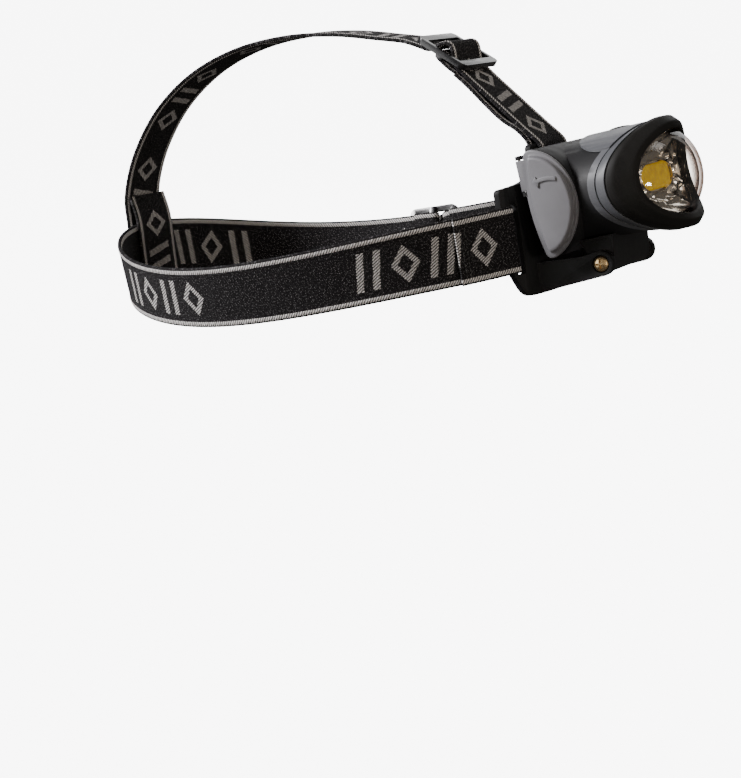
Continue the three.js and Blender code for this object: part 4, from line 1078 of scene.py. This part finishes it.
def make_pad():
    """Foam pad on the back of the plate: crowned, with a pinched and stitched rim."""
    back = -PLATE_THICK / 2 - 0.35
    half_y, low, high = 25.3, -17.3, 18.8
    columns, rows = 48, 36
    thick, rim = 3.6, 1.1

    def from_edge(a, b, reach):
        """0 on the rim, growing to 1 at the reach inside it."""
        return min(1, min(1 - abs(a), 1 - abs(b)) / reach)

    def crown(a, b):
        bulge = 1 - (1 - from_edge(a, b, 0.16)) ** 2.5
        quilt = 0.3 * math.exp(-(a / 0.06) ** 2)
        return rim + (thick - rim) * bulge * (1 - quilt)

    def pinch(a, b):
        return 0.3 * (1 - from_edge(a, b, 0.05))

    grids = []
    for depth in (pinch, crown):
        grid = []
        for j in range(rows + 1):
            for i in range(columns + 1):
                a, b = 2 * i / columns - 1, 2 * j / rows - 1
                pull = 1 - 0.07 * (a * b) ** 4       # rounds the rectangle's corners
                y = a * half_y * pull
                w = (low + high) / 2 + b * (high - low) / 2 * pull
                grid.append((plate_surface(y) + back - depth(a, b), y, w))
        grids.append(grid)
    count = len(grids[0])
    faces = []
    for j in range(rows):
        for i in range(columns):
            p = j * (columns + 1) + i
            quad = (p, p + 1, p + columns + 2, p + columns + 1)
            faces.append(quad)
            faces.append(tuple(count + k for k in reversed(quad)))
    border = list(range(columns))
    border += [j * (columns + 1) + columns for j in range(rows)]
    border += [rows * (columns + 1) + i for i in range(columns, 0, -1)]
    border += [j * (columns + 1) for j in range(rows, 0, -1)]
    for p, q in zip(border, border[1:] + border[:1]):
        faces.append((q, p, count + p, count + q))
    pad = build("foam_pad", grids[0] + grids[1], faces)
    piece(pad, ROOT, FOAM, "black_foam", "forehead_pad", place=PLATE, angle=70)


def make_screw():
    hu, hw = HINGE_IN_PLATE.x, HINGE_IN_PLATE.z
    seat, tip = -EAR_OUTER + 1, EAR_OUTER - 0.2
    top = seat - SCREW_HEAD_HEIGHT
    screw = turned("pivot_screw", [
        (0.6, top - 0.02), (1.6, top + 0.08), (2.3, top + 0.3), (2.75, top + 0.65),
        (SCREW_HEAD_RADIUS, top + 1.1), (SCREW_HEAD_RADIUS, seat - 0.1), (2.9, seat),
        (SCREW_RADIUS, seat), (SCREW_RADIUS, tip - 0.3), (SCREW_RADIUS - 0.3, tip)], "y", hu, hw)
    arm, half, depth = 1.75, 0.36, 1.0
    for u, w in ((arm, half), (half, arm)):
        slot = block("slot", (hu - u, top - 1, hw - w), (hu + u, top + depth, hw + w))
        combine(screw, [slot], "DIFFERENCE")
    piece(screw, ROOT, BRASS, "brass", "hinge_screw", place=PLATE, angle=35)


# ---------------------------------------------------------------------------- straps


def glide(name):
    """Three-bar glide drawn flat: length along X, width along Y, height along Z."""
    frame_shape = slab(name, rounded_rectangle(
        -GLIDE_HALF_LENGTH, -GLIDE_HALF_WIDTH, GLIDE_HALF_LENGTH, GLIDE_HALF_WIDTH, 2.6),
        "uy", GLIDE_LOW, GLIDE_HIGH)
    window = slab("window", rounded_rectangle(
        -END_BAR_INNER, -SLOT_HALF, END_BAR_INNER, SLOT_HALF, 1), "uy", -5, 10)
    combine(frame_shape, [window], "DIFFERENCE")
    reach = SLOT_HALF + 1.9
    section = rounded_rectangle(-CENTRE_BAR_HALF, CENTRE_BAR_LOW, CENTRE_BAR_HALF,
                                CENTRE_BAR_HIGH + 0.15, 0.5, 4)
    bar = slab("centre_bar", section, "uw", -reach, reach)
    combine(frame_shape, [bar], "UNION")
    return bevelled(frame_shape, 0.45, 3, 42)


def end_loop():
    """Webbing end turned round a glide's centre bar, in the glide's own length and height."""
    turns = [(7.4, -2.35), (4, -2.1), (0, -1.3), (-2, -0.8), (-2.75, 0.5), (-2, 1.8),
             (0, 2.2), (2, 1.5), (3.3, 0.15), (4.9, -0.9)]
    return catmull([Vector((s, 0, h)) for s, h in turns], 8)


def placed(stations, matrix):
    turn = matrix.to_3x3()
    return [(matrix @ p, turn @ a, turn @ f) for p, a, f in stations]


def crown_arc(angle, radius):
    """Point in the middle plane, about the crown strap's centre of curvature."""
    return ARC_CENTRE + Vector((math.cos(angle), 0, math.sin(angle))) * radius


def on_crown(s, radius=ARC_RADIUS):
    """Point of the crown arc at a length s in front of the slider's middle."""
    return crown_arc(SLIDER_ANGLE - s / ARC_RADIUS, radius)


def adjuster_matrix():
    point, across, face = band_station(ADJUSTER_T, ADJUSTER_OFFSET)
    return from_axes(across.cross(face), across, face, point)


def slider_matrix():
    height = crown_arc(SLIDER_ANGLE, 1) - ARC_CENTRE
    width = Vector((0, 1, 0))
    return from_axes(width.cross(height), width, height, crown_arc(SLIDER_ANGLE, ARC_RADIUS))


def path_length(points):
    return sum((q - p).length for p, q in zip(points, points[1:]))


def band_length(t_deg, steps=200):
    """Length along the headband from its front to an angle."""
    return path_length([band_point(math.radians(t_deg * i / steps)) for i in range(steps + 1)])


def band_place(t_deg):
    return band_station(math.radians(t_deg))[0]


def strap(obj, body, weave, *nodes):
    """Piece of webbing or sewing, carried by a body."""
    piece(obj, body, weave, "woven_webbing", *nodes, angle=50)


def bending_strap(obj, body, weave, start, end, node):
    """Piece of webbing, painted and shaded, carried by no body, with the node it replaces hidden; body,
    start and end are not used.
    """
    strap(obj, None, weave)
    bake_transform(obj)
    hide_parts(node)


def hump_steps():
    """Places along the webbing that travels with a glide, from the glide's middle."""
    reach = HUMP_REACH + HUMP_OVERLAP
    return [-reach + 2 * reach * i / HUMP_STEPS for i in range(HUMP_STEPS + 1)]


def add_glide(name, node, loop_name, loop_node, body, weave, place):
    """Glide at its place, with the webbing's end sewn round its centre bar."""
    piece(glide(name), body, GLOSS_BLACK, "black_shell", node, place=place, angle=35)
    loop = webbing(loop_name, placed(curve_stations(end_loop()), place), ease=1, thick=1)
    strap(loop, body, weave, loop_node)


def make_headband():
    adjuster_deg = math.degrees(ADJUSTER_T)
    hump_deg = math.degrees(HUMP_REACH / BAND_A)
    end_deg, near_deg = 40.5, 33
    far_deg, back_deg = 326, 180
    rear_bend_deg, loop_deg, seam_rows = 236, 6.2, (39.2, 38.0)
    in_slot = WING_Y + 1.2

    # Near side: sewn end, round the near wing, and along to the back
    def lifted(f):
        """Offset of the outer layer: its sewn end stands up a little."""
        return LAYER_PITCH + 0.6 * (1 - f) ** 3

    outer = band_run(end_deg, near_deg, lifted) + [wing_station(-in_slot, LOOP_OFFSET)] + wing_turn(-1)
    inner = [wing_station(-in_slot, -LOOP_OFFSET)] + band_run(near_deg, back_deg + 1)
    near = webbing("headband_near", outer + flipped(inner))
    to_turn = path_length([point for point, _, _ in outer]) - math.pi * LOOP_OFFSET / 2
    lay_along(near, band_length(end_deg), to_turn)
    strap(near, ROOT, HEADBAND_WEAVE, "headband")

    # Far side: from the back to the adjuster
    rear_end = adjuster_deg - hump_deg
    rear = webbing("headband_back", band_run(
        back_deg, rear_end, lambda f: ADJUSTER_OFFSET * max(0.0, min(1.0, (f - 0.2) * 2))),
        start=band_length(back_deg))
    bending_strap(rear, ADJUSTER_BODY, HEADBAND_WEAVE, band_place(rear_bend_deg),
                  band_place(rear_end - 1), "headband")

    hump = webbing("headband_hump", [
        band_station(ADJUSTER_T + s / BAND_A, ADJUSTER_OFFSET + bump(s)) for s in hump_steps()],
        start=band_length(adjuster_deg) - HUMP_REACH, ease=2)
    strap(hump, ADJUSTER_BODY, HEADBAND_WEAVE)

    # From the adjuster to the far wing and doubled back inside to the adjuster's loop
    front_start = adjuster_deg + hump_deg
    outer = band_run(front_start, far_deg, ADJUSTER_OFFSET)
    outer += [wing_station(in_slot, LOOP_OFFSET)] + wing_turn(1)
    back = [wing_station(in_slot, -LOOP_OFFSET)]
    back += band_run(far_deg, adjuster_deg + loop_deg,
                     lambda f: ADJUSTER_OFFSET - LAYER_PITCH - 0.6 * f)
    far = webbing("headband_far", outer + flipped(back), start=band_length(front_start))
    bending_strap(far, ADJUSTER_BODY, HEADBAND_WEAVE, band_place(far_deg - 10),
                  band_place(front_start + 1), "headband_left")
    add_glide("band_adjuster", "headband_adjuster", "headband_loop_end", "headband_end",
              ADJUSTER_BODY, HEADBAND_WEAVE, adjuster_matrix())

    def on_fold(deg):
        return band_station(math.radians(deg), lifted((end_deg - deg) / (end_deg - near_deg)))

    seam = stitches("headband_stitches", on_fold, seam_rows)
    strap(seam, ROOT, THREAD)


def lay_along(obj, sewn_end, to_turn):
    """Renumbers a doubled strap's weave so that both layers keep the band's own count."""
    layer = obj.data.attributes["along"]
    values = [0.0] * len(layer.data)
    layer.data.foreach_get("value", values)
    layer.data.foreach_set("value", [sewn_end - to_turn + abs(v - to_turn) for v in values])


def crown_front_points():
    """From under the slider's front bar down to the bracket, round its bar and back up."""
    points = [on_crown(s) for s in (HUMP_REACH - HUMP_OVERLAP, 12, 14.6)]
    sweep = (plate_surface(0) - plate_surface(WEB_WIDTH / 2)) / 2
    turn = LOOP_OFFSET + sweep
    bar = PLATE @ Vector((plate_surface(0) - sweep, 0, CROWN_BAR_W - CROWN_BAR_HALF))
    rotation = PLATE.to_3x3()
    face, down = rotation @ Vector((1, 0, 0)), rotation @ Vector((0, 0, -1))
    last, on_face = points[-1], bar + face * turn
    for f in (0.25, 0.5, 0.75, 1):
        points.append(last.lerp(on_face - down * 3.4, f))
    for cos, sin in arc(0, 0, 1, 0, 180, 8):
        points.append(bar + face * (turn * cos) + down * (LOOP_OFFSET * sin))
    points.append(bar - face * turn - down * 4.6)
    points += [Vector((x, 0, z)) for x, z in ((79.4, 59.2), (73.2, 62.6), (66, 68.4), (58.9, 74.7))]
    points.append(on_crown(8, ARC_RADIUS - 2.35))
    return points


def crown_rear_points():
    """From under the slider's rear bar over the crown, and round the headband at the back."""
    points = [on_crown(-s) for s in (HUMP_REACH - HUMP_OVERLAP, 12.3, 15.4, 18.5)]
    points += [Vector((x, 0, z)) for x, z in (
        (20, 91.8), (0, 92.8), (-22, 91.2), (-45, 85.6), (-66, 75.2), (-83, 60),
        (-94.5, 41.5), (-99.6, 24))]
    point, across, face = band_station(math.pi)
    below = -WEB_WIDTH / 2 - 0.2
    middle, turn = (LAYER_PITCH - INNER_PITCH) / 2, (LAYER_PITCH + INNER_PITCH) / 2
    wrap = [(12.6, LAYER_PITCH), (0, LAYER_PITCH), (below, LAYER_PITCH)]
    wrap += [(below - y, middle + x) for x, y in arc(0, 0, turn, 45, 135, 2)]
    wrap += [(below, -INNER_PITCH), (0, -INNER_PITCH), (14, -INNER_PITCH), (24, -1)]
    for height, offset in wrap:
        place = point + across * height + face * offset
        points.append(Vector((place.x, 0, place.z)))
    return points


def make_crown_strap():
    hump = webbing("crown_hump", curve_stations([
        on_crown(s, ARC_RADIUS + bump(s)) for s in hump_steps()]), start=-HUMP_REACH, ease=2)
    strap(hump, SLIDER_BODY, CROWN_WEAVE)
    glide_end = 11.6
    runs = (("crown_front", crown_front_points(), 1, (84, 0, 56), glide_end, "crown_strap_front"),
            ("crown_rear", crown_rear_points(), -1, (0, 0, 92), -glide_end, "crown_strap_rear"))
    for name, points, across, start, end, node in runs:
        stations = curve_stations(catmull(points), Vector((0, across, 0)))
        run = webbing(name, stations, start=HUMP_REACH, ease=2)
        bending_strap(run, SLIDER_BODY, CROWN_WEAVE, Vector(start), on_crown(end), node)
    add_glide("strap_slider", "crown_slider", "crown_loop_end", "crown_strap_end",
              SLIDER_BODY, CROWN_WEAVE, slider_matrix())


# ------------------------------------------------------------- carried-over CAD nodes

KEPT = {
    "cob_board": CERAMIC, "contact_board": BOARD, "switch_board": BOARD,
    "heat_spreader": ALUMINIUM, "cap_hinge_pin": STEEL, "cap_contact_plate": STEEL,
    "hinge_nut": STEEL, "push_switch": BLACK, "lead_positive": RED_WIRE,
    "lead_negative": BLACK_WIRE, "hinge_washer_1": RUBBER, "hinge_washer_2": RUBBER,
    **{f"battery_{i}": CELL for i in (1, 2, 3)},
    **{f"contact_spring_{i}": STEEL for i in (1, 2, 3)},
}


def paint_kept_nodes():
    for name, material in KEPT.items():
        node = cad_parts[name]
        node.data.materials.clear()
        node.data.materials.append(material)
        shaded(node, 35)


# --------------------------------------------------------------- floor, light, camera

FLOOR_Z = -0.19
AMBIENT = 0.1
BACKDROP = 7.0                       # glow of the pale floor and of the backdrop beyond it
LIT_POINT = (0.1, 0, 0.03)
WARM, WARMER = (1, 0.86, 0.72), (1, 0.84, 0.66)


def add_light(name, kind, place, target, power, colour):
    """Light at a place, turned to its target."""
    light = bpy.data.lights.new(name, kind)
    light.energy = power
    light.color = colour
    obj = linked(name, light)
    obj.location = place
    obj.rotation_euler = (Vector(target) - Vector(place)).to_track_quat("-Z", "Y").to_euler()
    return obj, light


def add_area(name, place, size, power, colour=(1, 1, 1)):
    """Soft rectangular light turned to the lamp's middle and hidden from the camera."""
    obj, light = add_light(name, "AREA", place, LIT_POINT, power, colour)
    light.shape = "RECTANGLE"
    light.size, light.size_y = size
    obj.visible_camera = False


def add_sun(name, direction, strength, angle, colour):
    _, light = add_light(name, "SUN", direction, (0, 0, 0), strength, colour)
    light.angle = math.radians(angle)


def make_stage():
    size = 30
    corners = [(-size, -size, 0), (size, -size, 0), (size, size, 0), (-size, size, 0)]
    floor = build("floor", corners, [(0, 1, 2, 3)])
    floor.data.materials.append(plain_floor("pale_floor"))
    floor.location.z = FLOOR_Z
    floor.visible_diffuse = False
    floor.visible_glossy = False


def make_light():
    world = bpy.data.worlds.new("studio")
    bpy.context.scene.world = world
    world.use_nodes = True
    nodes, links = world.node_tree.nodes, world.node_tree.links
    ambient, backdrop = nodes["Background"], nodes.new("ShaderNodeBackground")
    for node, colour, strength in ((ambient, (1, 0.96, 0.92, 1), AMBIENT),
                                   (backdrop, (1, 1, 1, 1), BACKDROP + 1)):
        node.inputs["Color"].default_value = colour
        node.inputs["Strength"].default_value = strength
    choose = nodes.new("ShaderNodeMixShader")
    links.new(nodes.new("ShaderNodeLightPath").outputs["Is Camera Ray"], choose.inputs[0])
    links.new(ambient.outputs[0], choose.inputs[1])
    links.new(backdrop.outputs[0], choose.inputs[2])
    links.new(choose.outputs[0], nodes["World Output"].inputs["Surface"])
    add_sun("key", (-0.75, -0.5, 0.45), 8, 14, (1, 0.985, 1))
    add_area("left_wall", (-0.75, -1, 0), (0.5, 0.7), 5)
    add_area("camera_side", (0.5, -1.6, 0.4), (1.6, 1.2), 2.4, WARM)
    add_area("front_panel", (1.2, -0.4, 0.35), (1, 0.8), 1.1, WARM)
    add_area("beam_fill", (0.95, -0.5, 0.12), (0.07, 0.07), 2, (1, 0.95, 0.88))
    add_area("top", (0.35, 0.1, 0.8), (0.25, 0.5), 1.6, (1, 0.97, 0.94))
    add_area("far_side", (-0.3, 1.5, 0.7), (1.2, 1), 7)
    for place in ((0.9, -0.95, 0.45), (1.2, 0.25, 0.4), (1.15, 0, -0.1), (0.75, -0.8, -0.12)):
        add_area("window", place, (0.28, 0.2), 0.45, WARMER)


def make_camera():
    """Camera of the view from the wearer's right front, slightly above."""
    azimuth, elevation = math.radians(28), math.radians(12.5)
    distance, aim_right, aim_down = 0.85, 0.0092, 0.0504
    right = Vector((math.cos(azimuth), math.sin(azimuth), 0))
    back = Vector((math.sin(azimuth) * math.cos(elevation),
                   -math.cos(azimuth) * math.cos(elevation), math.sin(elevation)))
    up = back.cross(right)
    target = right * aim_right - up * aim_down
    place = target + back * distance
    camera = bpy.data.cameras.new("camera")
    camera.sensor_width = 36
    camera.lens = 96.83
    camera.clip_start = 0.05
    camera.clip_end = 100
    obj = linked("camera", camera)
    obj.matrix_world = from_axes(right, up, back, place)
    bpy.context.scene.camera = obj


make_camera()
make_housing()
make_collars()
make_bezel()
make_lens()
make_reflector()
make_light_source()
make_cap()
make_button()
make_bracket()
make_pad()
make_screw()
make_headband()
make_crown_strap()
paint_kept_nodes()
make_stage()
make_light()
